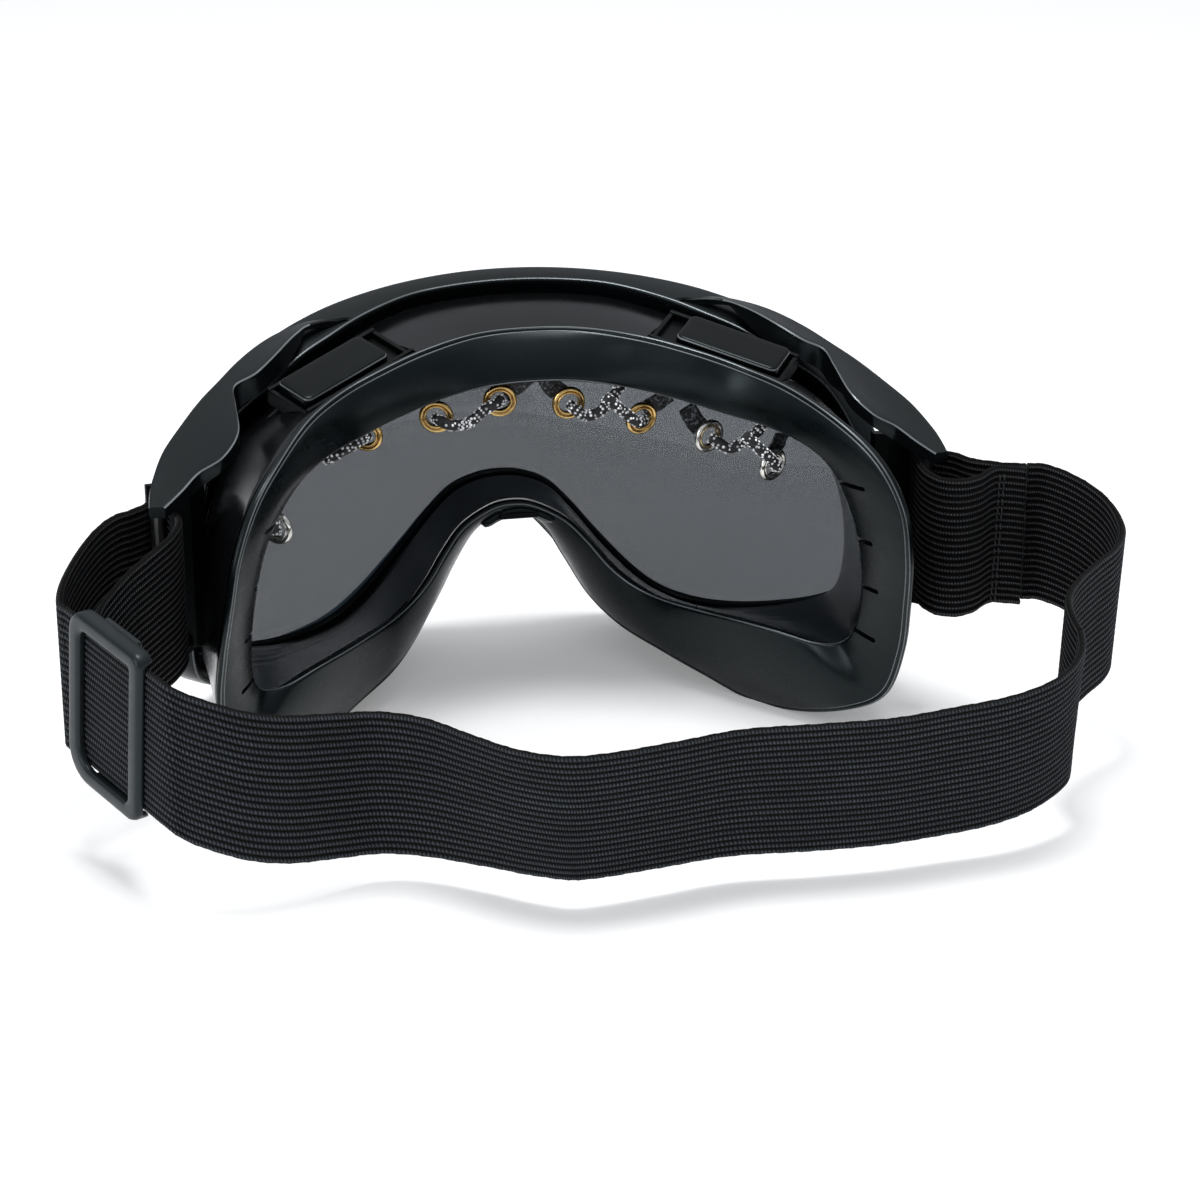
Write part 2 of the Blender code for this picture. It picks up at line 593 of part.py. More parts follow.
for name, at, mat in EYELETS:
    n = trim_facing(at[0])
    p = unit(np.cross([0, 0, 1.0], n))
    q = np.cross(n, p)
    profile = [(EYELET_OD / 2, 0.1), (EYELET_OD / 2, -EYELET_THICK / 2), (EYELET_ID / 2, -EYELET_THICK / 2),
               (EYELET_ID / 2, 0.2), ((EYELET_OD + EYELET_ID) / 4, EYELET_THICK / 2 + 0.2)]
    sections = []
    for k in range(16):
        ang = 2 * math.pi * k / 16
        way = math.cos(ang) * p + math.sin(ang) * q
        sections.append([np.array(at) + way * r + n * h for r, h in profile])
    loft(name, sections, mat, sharp=60, at=at)


def cord(name, points, mat, radius=LACE_D / 2):
    curve = bpy.data.curves.new(name, "CURVE")
    curve.dimensions = "3D"
    curve.bevel_depth = radius * MM
    curve.bevel_resolution = 2
    curve.use_fill_caps = True
    spline = curve.splines.new("POLY")
    smooth = open_curve(points, max(6, 2 + int(sum(np.linalg.norm(np.diff(np.array(points, float), axis=0), axis=1)) / 2.2)))
    spline.points.add(len(smooth) - 1)
    for point, co in zip(spline.points, smooth):
        point.co = (*(co * MM), 1.0)
    curve.materials.append(mat)
    obj = bpy.data.objects.new(name, curve)
    obj.parent = base
    bpy.context.scene.collection.objects.link(obj)
    return obj


def hole(index, back=2.9):
    """A point just behind an eyelet, on the wearer's side."""
    at = np.array(EYELETS[index][1])
    return at + trim_facing(at[0]) * back


def near(index, dx, dz, back=2.9):
    at = hole(index, back)
    return at + np.array([dx, 0, dz])


# each lace lies on the wearer's side of the eyelets and clear of the seal's edge
cord("lace_1", [near(0, 0.2, -0.6), near(0, 0.8, 3.0), near(0, 1.6, 5.6, 3.4)], LACE)
cord("lace_2", [near(1, 0.8, 0.2), near(1, -2.6, -1.4), near(1, -5.6, -2.8, 2.6), near(1, -8.4, -4.4, 1.0)], LACE)
cord("lace_3", [near(2, -0.2, 0.0), near(2, 3.6, -1.2), (-14.0, 30.8, 44.2), near(3, -3.6, -0.8), near(3, 0.2, 0.4)], LACE)
cord("lace_4", [near(4, 0.2, -0.4), near(4, 3.2, -2.2), near(4, 6.2, -1.4), near(4, 8.4, 1.2, 2.6)], LACE)
cord("lace_5", [near(5, 0.2, -0.4, 3.7), near(5, -2.8, 0.8, 3.5), near(5, -5.6, 3.2, 4.0), near(5, -8.2, 5.6, 6.0), near(5, -10.4, 7.4, 6.2)], LACE)
cord("lace_6", [near(6, 0.2, -0.4), near(6, 2.6, -2.2), near(6, 5.4, -1.0, 2.6), near(6, 8.0, 1.2, 3.4)], LACE)
cord("lace_7", [near(7, 0.0, -0.2, 3.6), near(7, -2.6, 1.8, 4.8), near(7, -5.6, 4.4, 6.2), near(7, -8.8, 7.4, 6.8), near(7, -11.2, 9.8, 6.6)], LACE)


def ribbon(name, points, normal_at):
    path = open_curve(points, 3 * len(points))
    run = tangents(path, closed=False)
    sections = []
    for p, t in zip(path, run):
        n = unit(trim_facing(p[0]))
        side = unit(np.cross(t, n))
        sections.append([p - side * RIBBON_WIDE / 2, p + side * RIBBON_WIDE / 2,
                         p + side * RIBBON_WIDE / 2 + n * RIBBON_THICK, p - side * RIBBON_WIDE / 2 + n * RIBBON_THICK])
    return loft(name, sections, RIBBON, closed=False)


def ahead(index, dx, dz, fore=1.8):
    at = np.array(EYELETS[index][1])
    return at - trim_facing(at[0]) * fore + np.array([dx, 0, dz])


ribbon("ribbon_1", [ahead(3, 1.0, 0.8), ahead(3, 4.0, 2.8), ahead(3, 6.7, 5.0)], None)
ribbon("ribbon_2", [ahead(4, -1.0, 1.4), ahead(4, -3.4, 3.6), ahead(4, -4.7, 6.0)], None)
ribbon("ribbon_3", [ahead(5, 1.2, 1.0), ahead(5, 4.4, 2.8), ahead(5, 7.0, 4.6)], None)
ribbon("ribbon_4", [ahead(6, -1.2, 1.4), ahead(6, -3.0, 4.0), ahead(6, -4.2, 6.6)], None)
ribbon("ribbon_5", [ahead(7, 0.8, 1.4), ahead(7, 2.2, 4.0), ahead(7, 3.2, 6.4)], None)


# ---- head strap ----
def band(name, rows, count, thick=STRAP_THICK, offset=0.0, mat=WEBBING, clip=None):
    """A flat strap on edge. Each row is x, y, z of its top edge and how far its bottom edge swings inwards."""
    path = open_curve(rows, count)
    if clip:
        keep = (np.linspace(0, 1, count) >= clip[0]) & (np.linspace(0, 1, count) <= clip[1])
        path = path[keep]
    top, swing = path[:, :3], path[:, 3:4]
    run = tangents(top, closed=False)
    run[:, 2] = 0
    run = unit(run)
    out = np.stack([run[:, 1], -run[:, 0], 0 * run[:, 0]], 1)
    top = top + out * offset
    bottom = top + out * swing
    bottom[:, 2] = top[:, 2] - np.sqrt(STRAP_WIDTH**2 - swing[:, 0] ** 2)
    h = thick / 2
    middle = (top + bottom) / 2
    sections = np.stack([top + out * h, middle + out * h, bottom + out * h, bottom - out * h, middle - out * h, top - out * h], 1)
    return loft(name, sections, mat, closed=False, sharp=60), path


LOOP_R = PIN_R + GAP + STRAP_THICK / 2 + 0.05


def round_pin(side):
    """Top-edge rows that turn half round the pin, on the side away from the strap."""
    rows = []
    for k in range(7):
        ang = math.radians(10 + 26.7 * k)
        rows.append((side * (PIN_X + LOOP_R * math.cos(ang)), PIN_Y + LOOP_R * math.sin(ang), 37.7, 0.0))
    return rows


# right: tail inside, bulging from the pin and sewn to the outer layer, then the outer layer to the side
tail = [(103.2, -4.6, 37.0, 0.0), (99.5, -4.9, 37.8, 0.0), (95.6, -5.2, 38.2, 0.0), (91.0, -8.6, 37.7, 0.0), (86.6, -10.3, 37.7, 0.0),
        (82.8, -8.4, 37.7, 0.0), (81.1, -3.0, 37.7, 0.0), (81.4, 4.0, 37.7, 0.0)]
outer_right = [(90.6, 7.0, 37.7, 0.0), (93.1, 2.4, 37.7, 0.0), (95.8, -1.4, 38.2, 0.0), (99.3, -2.3, 37.8, 0.0), (104.0, -1.9, 37.2, 0.0)]
loop_rows = tail + round_pin(1)[::-1] + outer_right
band("strap_loop_right", loop_rows, 44)

side_right = [(104.5, -1.9, 37.2, 0.0), (108.2, -1.6, 36.7, 0.0), (112.0, -4.0, 35.8, 0.0), (116.1, -7.4, 34, 0.2), (119.2, -11.6, 31.8, 0.6),
              (120.4, -16.2, 29.6, 1.0), (119.6, -22.0, 27.6, 1.4), (116.2, -27.2, 26.2, 1.6), (110.4, -32.0, 25, 1.6), (104.4, -37.4, 23.7, 1.4),
              (100.2, -42.8, 22.2, 1.2), (99.0, -48.2, 20.4, 1.0), (99.2, -53.4, 18.6, 1.1)]
band("strap_side_right", side_right, 30)

# the adjuster buckle's own frame: along the strap, up, and outwards
BUCKLE_D = unit([13.0, -25.5, -3.4])
BUCKLE_U = unit(np.array([0, 0, 1.0]) - BUCKLE_D * BUCKLE_D[2])
BUCKLE_N = unit(np.cross(BUCKLE_D, BUCKLE_U))
BUCKLE_N = BUCKLE_N * -np.sign(BUCKLE_N[0])
BUCKLE_AT = np.array([-99.0, -38.0, 11.0])


def in_buckle(t, up, n):
    return BUCKLE_AT + BUCKLE_D * t + BUCKLE_U * up + BUCKLE_N * n


def top_in_buckle(t, n):
    """A top-edge row of a strap that runs through the buckle at depth n."""
    return (*in_buckle(t, STRAP_WIDTH / 2 - 0.1, n), 0.0)


CHANNEL_N = -0.5  # depth of the strap's middle in the buckle
rear_rows = [(99.0, -54.0, 18.4, 1.1), (97.6, -58.8, 17.2, 2.4), (93.6, -64.2, 15.6, 4.4), (87.4, -68.6, 14.3, 5.6), (78.0, -71.6, 13.2, 6.2),
             (66.0, -72.9, 12.4, 6.4), (53.0, -74.6, 12.0, 7.0), (38.0, -74.4, 12, 7.0), (22.0, -73.8, 12, 7.4), (8.0, -76.8, 12, 8.0),
             (-6.0, -79.4, 12, 8.4), (-15.0, -79.0, 12, 8.6), (-23.5, -73.8, 12, 8.2), (-31.0, -65.4, 12.2, 6.2), (-38.5, -56.8, 12.6, 3.0),
             (-47.0, -53.0, 13.2, 1.6), (-56.0, -54.8, 14.4, 0.8), (-66.0, -58.4, 16.4, 0.0), (-74.0, -60.0, 18.6, -0.3), (-81.0, -59.2, 21.0, -0.4),
             (-86.6, -57.0, 22.9, -0.2), top_in_buckle(18, CHANNEL_N), top_in_buckle(6, CHANNEL_N), top_in_buckle(-6, CHANNEL_N),
             top_in_buckle(-18, CHANNEL_N)]
band("strap_rear", rear_rows, 80)

# left: from the buckle along the outside, round the pin and back inside, over the buckle's centre bar
outer_left = [top_in_buckle(-18.4, CHANNEL_N), top_in_buckle(-21, CHANNEL_N), (-106.2, -15.6, 31.4, 0.0), (-102.8, -8.4, 34.4, 0.0),
              (-98.6, -1.8, 36.9, 0.0), (-94.4, 3.2, 38.0, 0.0), (-90.6, 7.0, 37.7, 0.0)]
inner_left = [(-81.3, 4.0, 37.7, 0.0), (-81.2, -3.0, 38.2, 0.0), (-83.6, -9.6, 37.6, 0.0), (-88.6, -15.6, 36.0, 0.0), (-94.2, -20.6, 33.4, 0.0),
              top_in_buckle(-13, -4.5), top_in_buckle(-6, -4.4), top_in_buckle(0.5, -4.4)]
round_left = [
    (-(PIN_X + LOOP_R * math.cos(math.radians(10 + 26.7 * k))), PIN_Y + LOOP_R * math.sin(math.radians(10 + 26.7 * k)), 37.7, 0.0)
    for k in range(7)
]
band("strap_loop_left", outer_left + round_left + inner_left, 66)

# ---- adjuster buckle: a rounded frame on the strap's outer side, rails over its edges, a centre bar inside ----
half_l, half_h = BUCKLE_LONG / 2, BUCKLE_HIGH / 2
SIDE_BAR, END_BAR = 4.0, 3.6
corners = [(half_l, half_h, 3.0), (half_l, -half_h, 4.0), (-half_l, -half_h, 7.5), (-half_l, half_h, 5.0)]
turns = [(90, 0), (0, -90), (270, 180), (180, 90)]
outer_pts, inner_pts = [], []
for (cx, cy, radius), (a0, a1) in zip(corners, turns):
    for k in range(5):
        ang = math.radians(a0 + (a1 - a0) * k / 4)
        way = np.array([math.cos(ang), math.sin(ang)])
        sx, sy = math.copysign(1, cx), math.copysign(1, cy)
        outer_pts.append(np.array([cx - sx * radius, cy - sy * radius]) + way * radius)
        small = max(radius - 2.4, 0.8)
        inner_pts.append(np.array([cx - sx * (SIDE_BAR + small), cy - sy * (END_BAR + small)]) + way * small)
frame_sections = []
for o, i in zip(outer_pts, inner_pts):
    w = (i - o) / np.linalg.norm(i - o)
    frame_sections.append([
        in_buckle(*(o), 0.6), in_buckle(*(o), 1.6), in_buckle(*(o + w * 0.6), 2.1), in_buckle(*(i - w * 0.6), 2.1),
        in_buckle(*(i), 1.6), in_buckle(*(i), 0.6),
    ])
buckle = loft("adjuster_buckle", frame_sections, BUCKLE_PLASTIC, at=BUCKLE_AT)
rail = (half_h - (STRAP_WIDTH / 2 + 0.55)) - 0.25
for name, sign in (("top", 1), ("bottom", -1)):
    join(buckle, cutter(box_in(f"rail_{name}", in_buckle(0.8, sign * (half_h - 0.25 - rail / 2), -0.9), BUCKLE_D, BUCKLE_U, BUCKLE_N,
                               (BUCKLE_LONG - 13.0, rail, 4.4), BUCKLE_PLASTIC)))
join(buckle, cutter(box_in("centre_bar", in_buckle(1.0, 0, -2.35), BUCKLE_D, BUCKLE_U, BUCKLE_N,
                           (4.2, BUCKLE_HIGH - 1.4, 1.4), BUCKLE_PLASTIC)))
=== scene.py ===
"""Looks of the welding goggles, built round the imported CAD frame.

The goggles are laid out in a frame of their own in millimetres (X to the wearer's right, Y forward, Z up); place()
turns that into the row frame in metres. Outlines are the same tables that the CAD part uses, sampled more finely.
"""

import math
import random

import bmesh
import bpy
import numpy as np
from mathutils import Matrix, Vector


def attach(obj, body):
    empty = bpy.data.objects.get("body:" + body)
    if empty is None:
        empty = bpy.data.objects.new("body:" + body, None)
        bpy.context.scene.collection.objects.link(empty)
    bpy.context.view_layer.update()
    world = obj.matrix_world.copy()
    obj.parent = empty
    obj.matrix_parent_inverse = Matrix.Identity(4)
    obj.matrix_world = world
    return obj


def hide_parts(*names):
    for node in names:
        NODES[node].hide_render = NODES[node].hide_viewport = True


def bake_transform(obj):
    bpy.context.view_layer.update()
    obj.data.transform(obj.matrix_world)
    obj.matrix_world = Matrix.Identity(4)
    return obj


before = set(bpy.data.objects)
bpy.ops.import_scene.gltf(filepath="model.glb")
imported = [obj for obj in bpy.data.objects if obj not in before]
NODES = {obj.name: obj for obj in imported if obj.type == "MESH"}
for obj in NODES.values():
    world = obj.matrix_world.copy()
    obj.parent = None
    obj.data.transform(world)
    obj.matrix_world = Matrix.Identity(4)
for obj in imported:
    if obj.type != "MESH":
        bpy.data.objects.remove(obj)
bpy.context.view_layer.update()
FINE = 8  # stations between two rows of an outline table

MM = 0.001
FRAME_AT = (-6.61, -1.17, 25.3)
ORIGIN = np.array(FRAME_AT)


def place(points):
    """Goggle frame, millimetres, to row frame, metres."""
    return (np.asarray(points, float) + ORIGIN) * MM


# ------------------------------------------------------------------ camera
view_back = np.array([-0.1934, -0.9100, 0.3665])
view_right = np.array([0.9781, -0.2079, 0.0])
view_right = view_right / np.linalg.norm(view_right)
view_back = view_back / np.linalg.norm(view_back)
view_up = np.cross(view_back, view_right)
eye = place([-123.39, -622.49, 262.70])
camera_data = bpy.data.cameras.new("camera")
camera_data.lens = 94.5
camera_data.sensor_width = 36.0
camera_data.clip_end = 50.0
camera = bpy.data.objects.new("camera", camera_data)
camera.matrix_world = Matrix(
    [[view_right[k], view_up[k], view_back[k], eye[k]] for k in range(3)] + [[0, 0, 0, 1]]
)
bpy.context.scene.collection.objects.link(camera)
bpy.context.scene.camera = camera
bpy.context.scene.view_settings.view_transform = "Standard"

# ------------------------------------------------------------------ geometry helpers


def unit(v):
    v = np.asarray(v, float)
    return v / np.linalg.norm(v, axis=-1, keepdims=True)


def catmull(points, u):
    i = int(min(max(math.floor(u), 1), len(points) - 3))
    t = u - i
    p0, p1, p2, p3 = points[i - 1], points[i], points[i + 1], points[i + 2]
    return 0.5 * (
        2 * p1 + (p2 - p0) * t + (2 * p0 - 5 * p1 + 4 * p2 - p3) * t**2 + (3 * p1 - p0 - 3 * p2 + p3) * t**3
    )


def outline(rows, steps=None):
    steps = steps or FINE
    rows = np.asarray(rows, float)
    flip = np.ones(rows.shape[1])
    flip[0] = -1.0
    ends = np.vstack([rows[1] * flip, rows, rows[-2] * flip])
    count = (len(rows) - 1) * steps
    right = np.array([catmull(ends, 1 + k / steps) for k in range(count + 1)])
    right[0, 0] = right[-1, 0] = 0.0
    left = right[1:-1][::-1] * flip
    return np.vstack([right, left])


def open_curve(points, count, fine=16):
    pts = np.asarray(points, float)
    ends = np.vstack([2 * pts[0] - pts[1], pts, 2 * pts[-1] - pts[-2]])
    dense = np.array([catmull(ends, 1 + k / fine) for k in range((len(pts) - 1) * fine + 1)])
    along = np.concatenate([[0], np.cumsum(np.linalg.norm(np.diff(dense[:, :3], axis=0), axis=1))])
    wanted = np.linspace(0, along[-1], count)
    return np.stack([np.interp(wanted, along, dense[:, k]) for k in range(dense.shape[1])], 1)


def tangents(loop, closed=True):
    if closed:
        return unit(np.roll(loop, -1, axis=0) - np.roll(loop, 1, axis=0))
    ahead = np.vstack([loop[1:], 2 * loop[-1] - loop[-2]])
    behind = np.vstack([2 * loop[0] - loop[1], loop[:-1]])
    return unit(ahead - behind)


def smooth_loop(values, passes=2):
    for _ in range(passes):
        values = (np.roll(values, 1, axis=0) + 2 * values + np.roll(values, -1, axis=0)) / 4
    return values


def ring_faces(stations, points, closed=True, start=0):
    faces = []
    for i in range(stations if closed else stations - 1):
        j = (i + 1) % stations
        for k in range(points):
            m = (k + 1) % points
            faces.append((start + i * points + k, start + i * points + m, start + j * points + m, start + j * points + k))
    if not closed:
        faces.append(tuple(start + k for k in range(points)))
        faces.append(tuple(start + (stations - 1) * points + k for k in range(points)))
    return faces


def piece(name, verts, faces, mat, body="goggles", sharp=40.0, stands_for=(), uv=None, flat=False):
    """A mesh piece from goggle-frame millimetres, riding on a CAD body and standing for CAD nodes."""
    mesh = bpy.data.meshes.new(name)
    mesh.from_pydata([tuple(v) for v in place(verts)], [], [tuple(int(i) for i in f) for f in faces])
    mesh.update()
    if uv is not None:
        layer = mesh.uv_layers.new(name="UVMap")
        index = np.empty(len(mesh.loops), np.int32)
        mesh.loops.foreach_get("vertex_index", index)
        layer.data.foreach_set("uv", np.asarray(uv, np.float32)[index].reshape(-1))
    bm = bmesh.new()
    bm.from_mesh(mesh)
    bmesh.ops.recalc_face_normals(bm, faces=bm.faces)
    bm.to_mesh(mesh)
    bm.free()
    mesh.materials.append(mat)
    if not flat:
        mesh.shade_smooth()
        mesh.set_sharp_from_angle(angle=math.radians(sharp))
    obj = bpy.data.objects.new(name, mesh)
    bpy.context.scene.collection.objects.link(obj)
    if body:
        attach(obj, body)
    if stands_for:
        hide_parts(*stands_for)
    return obj


def loft(name, sections, mat, closed=True, edges=(), edge_mat=None, **more):
    """A lofted skin; the profile strips listed in edges get the light grey material that paints a highlight line along
    them.
    """
    sections = np.asarray(sections, float)
    stations, points = sections.shape[:2]
    obj = piece(name, sections.reshape(-1, 3), ring_faces(stations, points, closed), mat, **more)
    if edges:
        obj.data.materials.append(edge_mat or PAINTED_EDGE_HIGHLIGHT)
        count = (stations if closed else stations - 1) * points
        index = np.zeros(len(obj.data.polygons), np.int32)
        index[:count] = np.isin(np.arange(count) % points, list(edges))
        obj.data.polygons.foreach_set("material_index", index)
    return obj


def box_mesh(centre, a, b, c, size):
    centre, a, b, c = (np.asarray(v, float) for v in (centre, a, b, c))
    verts = [
        centre + a * sa * size[0] / 2 + b * sb * size[1] / 2 + c * sc * size[2] / 2
        for sa in (-1, 1)
        for sb in (-1, 1)
        for sc in (-1, 1)
    ]
    faces = [(0, 1, 3, 2), (4, 6, 7, 5), (0, 4, 5, 1), (2, 3, 7, 6), (0, 2, 6, 4), (1, 5, 7, 3)]
    return verts, faces


def bevel(obj, width, segments=3, angle=30):
    step = obj.modifiers.new("bevel", "BEVEL")
    step.width = width * MM
    step.segments = segments
    step.limit_method = "ANGLE"
    step.angle_limit = math.radians(angle)
    step.harden_normals = False
    return obj


def apply_all(obj):
    """Leaves the evaluated mesh on the object, with no modifiers."""
    graph = bpy.context.evaluated_depsgraph_get()
    mesh = bpy.data.meshes.new_from_object(obj.evaluated_get(graph))
    obj.modifiers.clear()
    obj.data = mesh
    return obj


def hidden_box(name, centre, a, b, c, size):
    verts, faces = box_mesh(centre, a, b, c, size)
    mesh = bpy.data.meshes.new(name)
    mesh.from_pydata([tuple(v) for v in place(verts)], [], faces)
    bm = bmesh.new()
    bm.from_mesh(mesh)
    bmesh.ops.recalc_face_normals(bm, faces=bm.faces)
    bm.to_mesh(mesh)
    bm.free()
    obj = bpy.data.objects.new(name, mesh)
    bpy.context.scene.collection.objects.link(obj)
    return obj


def carve(obj, tools):
    """Cuts the tools out of obj and removes them."""
    for tool in tools:
        step = obj.modifiers.new("cut", "BOOLEAN")
        step.operation = "DIFFERENCE"
        step.solver = "EXACT"
        step.object = tool
    apply_all(obj)
    for tool in tools:
        bpy.data.objects.remove(tool, do_unlink=True)
    return obj


# ------------------------------------------------------------------ materials


class Shade:
    """A small builder for one Principled material."""

    def __init__(self, name, colour, roughness, **inputs):
        self.mat = bpy.data.materials.new(name)
        self.mat.use_nodes = True
        self.nodes = self.mat.node_tree.nodes
        self.links = self.mat.node_tree.links
        self.bsdf = self.nodes["Principled BSDF"]
        self.bsdf.inputs["Base Color"].default_value = (*colour, 1.0)
        self.bsdf.inputs["Roughness"].default_value = roughness
        for key, value in inputs.items():
            self.bsdf.inputs[key.replace("_", " ")].default_value = value
        self.coords = None

    def cool(self):
        self.bsdf.inputs["Specular Tint"].default_value = (0.82, 0.96, 1.0, 1.0)

    def where(self, output="Object", scale=(1, 1, 1), turn=(0, 0, 0)):
        if self.coords is None:
            self.coords = self.nodes.new("ShaderNodeTexCoord")
        mapping = self.nodes.new("ShaderNodeMapping")
        mapping.inputs["Scale"].default_value = scale
        mapping.inputs["Rotation"].default_value = turn
        self.links.new(self.coords.outputs[output], mapping.inputs["Vector"])
        return mapping.outputs["Vector"]

    def noise(self, vector, scale, detail=3.0, rough=0.5, distortion=0.0):
        node = self.nodes.new("ShaderNodeTexNoise")
        node.inputs["Scale"].default_value = scale
        node.inputs["Detail"].default_value = detail
        node.inputs["Roughness"].default_value = rough
        node.inputs["Distortion"].default_value = distortion
        self.links.new(vector, node.inputs["Vector"])
        return node.outputs["Fac"]

    def voronoi(self, vector, scale, output="Distance"):
        node = self.nodes.new("ShaderNodeTexVoronoi")
        node.inputs["Scale"].default_value = scale
        self.links.new(vector, node.inputs["Vector"])
        return node.outputs[output]

    def wave(self, vector, scale, distortion=0.0, detail=1.0, direction="X"):
        node = self.nodes.new("ShaderNodeTexWave")
        node.wave_type = "BANDS"
        node.bands_direction = direction
        node.inputs["Scale"].default_value = scale
        node.inputs["Distortion"].default_value = distortion
        node.inputs["Detail"].default_value = detail
        self.links.new(vector, node.inputs["Vector"])
        return node.outputs["Fac"]

    def span(self, value, low, high, to_low, to_high):
        node = self.nodes.new("ShaderNodeMapRange")
        for key, v in zip(("From Min", "From Max", "To Min", "To Max"), (low, high, to_low, to_high)):
            node.inputs[key].default_value = v
        self.links.new(value, node.inputs["Value"])
        return node.outputs["Result"]

    def maths(self, operation, a, b):
        node = self.nodes.new("ShaderNodeMath")
        node.operation = operation
        for socket, value in zip(node.inputs, (a, b)):
            if isinstance(value, (int, float)):
                socket.default_value = value
            else:
                self.links.new(value, socket)
        return node.outputs[0]

    def blend(self, factor, one, two):
        node = self.nodes.new("ShaderNodeMix")
        node.data_type = "RGBA"
        if isinstance(factor, (int, float)):
            node.inputs["Factor"].default_value = factor
        else:
            self.links.new(factor, node.inputs["Factor"])
        for key, colour in (("A", one), ("B", two)):
            socket = [s for s in node.inputs if s.name == key and s.type == "RGBA"][0]
            if isinstance(colour, tuple):
                socket.default_value = (*colour, 1.0)
            else:
                self.links.new(colour, socket)
        return [s for s in node.outputs if s.type == "RGBA"][0]

    def colour(self, socket):
        self.links.new(socket, self.bsdf.inputs["Base Color"])

    def rough(self, socket):
        self.links.new(socket, self.bsdf.inputs["Roughness"])

    def bump(self, height, strength=0.3, distance=0.1):
        node = self.nodes.new("ShaderNodeBump")
        node.inputs["Strength"].default_value = strength
        node.inputs["Distance"].default_value = distance * MM
        self.links.new(height, node.inputs["Height"])
        last = self.bsdf.inputs["Normal"].links
        if last:
            self.links.new(last[0].from_socket, node.inputs["Normal"])
        self.links.new(node.outputs["Normal"], self.bsdf.inputs["Normal"])


def plastic(name, colour, roughness, mottle=0.25, grain=0.05, grain_scale=2600.0, **inputs):
    """Moulded plastic: slow colour drift, faint handling marks in the gloss and a fine spark-eroded grain."""
    s = Shade(name, colour, roughness, **inputs)
    s.cool()
    drift = s.noise(s.where(), 38.0, 3.0)
    light = tuple(min(1.0, c * (1 + mottle)) for c in colour)
    dark = tuple(c * (1 - mottle) for c in colour)
    s.colour(s.blend(s.span(drift, 0.3, 0.7, 0.0, 1.0), dark, light))
    marks = s.noise(s.where(scale=(1, 1, 2.2)), 160.0, 4.0, 0.6)
    s.rough(s.span(marks, 0.3, 0.75, roughness * 0.85, min(1.0, roughness * 1.25)))
    s.bump(s.noise(s.where(), grain_scale, 2.0), grain, 0.05)
    return s.mat


FRAME_PLASTIC = plastic("frame_satin_plastic", (0.0028, 0.0038, 0.0044), 0.27, grain=0.07, Specular_IOR_Level=0.22)
ARM_PLASTIC = plastic("arm_satin_plastic", (0.0022, 0.003, 0.0034), 0.28, grain=0.07, Specular_IOR_Level=0.25)
SHELL_PLASTIC = plastic("shell_gloss_plastic", (0.0028, 0.003, 0.0036), 0.2, grain=0.02, Specular_IOR_Level=0.22)
SHROUD_PLASTIC = plastic("shroud_gloss_plastic", (0.002, 0.0022, 0.0026), 0.2, grain=0.02, Specular_IOR_Level=0.4)
SEAL = plastic("seal_satin_tpu", (0.0014, 0.0028, 0.0033), 0.28, grain=0.04, grain_scale=3400.0, Specular_IOR_Level=0.22)
BUCKLE_PLASTIC = plastic("buckle_satin_plastic", (0.005, 0.0072, 0.0082), 0.34, grain=0.1, Specular_IOR_Level=0.32)
CAP_PLASTIC = plastic("vent_cap_plastic", (0.002, 0.0026, 0.003), 0.26, grain=0.05, Specular_IOR_Level=0.14)
BLACK_PLASTIC = plastic("vent_tray_plastic", (0.0012, 0.0013, 0.0015), 0.35, grain=0.05, Specular_IOR_Level=0.12)
# painted highlight: a light grey put on thin strips along edges, drawing the bright edge lines that the lamps would
# give
PAINTED_EDGE_HIGHLIGHT = plastic("painted_edge_highlight", (0.12, 0.13, 0.137), 0.25, mottle=0.45, grain=0.04, Specular_IOR_Level=0.6)
# painted glints: light grey for the rims of the grille's perforations
PAINTED_RIM_GLINT = plastic("perforation_rim_painted_glints", (0.3, 0.32, 0.34), 0.3)
RUBBER = plastic("gasket_rubber", (0.0025, 0.0025, 0.003), 0.4, grain=0.1, Specular_IOR_Level=0.35)


def steel():
    s = Shade("pin_steel", (0.38, 0.38, 0.38), 0.3, Metallic=1.0)
    grain = s.noise(s.where(scale=(1, 1, 0.04)), 2200.0, 3.0)
    s.rough(s.span(grain, 0.3, 0.7, 0.22, 0.42))
    s.bump(grain, 0.15, 0.03)
    return s.mat


def polished(name, colour, dark):
    """Polished eyelet metal with patches of tarnish and fine turning marks."""
    s = Shade(name, colour, 0.16, Metallic=1.0)
    stain = s.noise(s.where(), 420.0, 4.0)
    s.colour(s.blend(s.span(stain, 0.45, 0.75, 0.0, 0.8), colour, dark))
    s.rough(s.span(stain, 0.3, 0.7, 0.12, 0.3))
    s.bump(s.noise(s.where(scale=(1, 1, 6)), 900.0, 2.0), 0.12, 0.04)
    return s.mat


def felt():
    s = Shade("filter_felt", (0.015, 0.015, 0.015), 0.95)
    s.colour(s.blend(s.noise(s.where(), 1200.0, 5.0), (0.006, 0.006, 0.006), (0.03, 0.03, 0.03)))
    s.bump(s.noise(s.where(), 1600.0, 5.0), 0.8, 0.3)
    return s.mat


def smoke(name, tint, alpha, roughness=0.03):
    """Lens material: smoked sheet, a trace of handling haze in its gloss."""
    s = Shade(name, tint, roughness)
    s.bsdf.inputs["Alpha"].default_value = alpha
    s.bsdf.inputs["IOR"].default_value = 1.5
    s.bsdf.inputs["Specular Tint"].default_value = (0.75, 0.9, 1.0, 1.0)
    haze = s.noise(s.where(), 22.0, 2.0, 0.5)
    s.rough(s.span(haze, 0.35, 0.8, roughness, roughness * 1.6))
    dark = tuple(c * 0.85 for c in tint)
    s.colour(s.blend(s.span(s.noise(s.where(), 14.0, 2.0), 0.3, 0.7, 0.0, 1.0), dark, tint))
    return s.mat


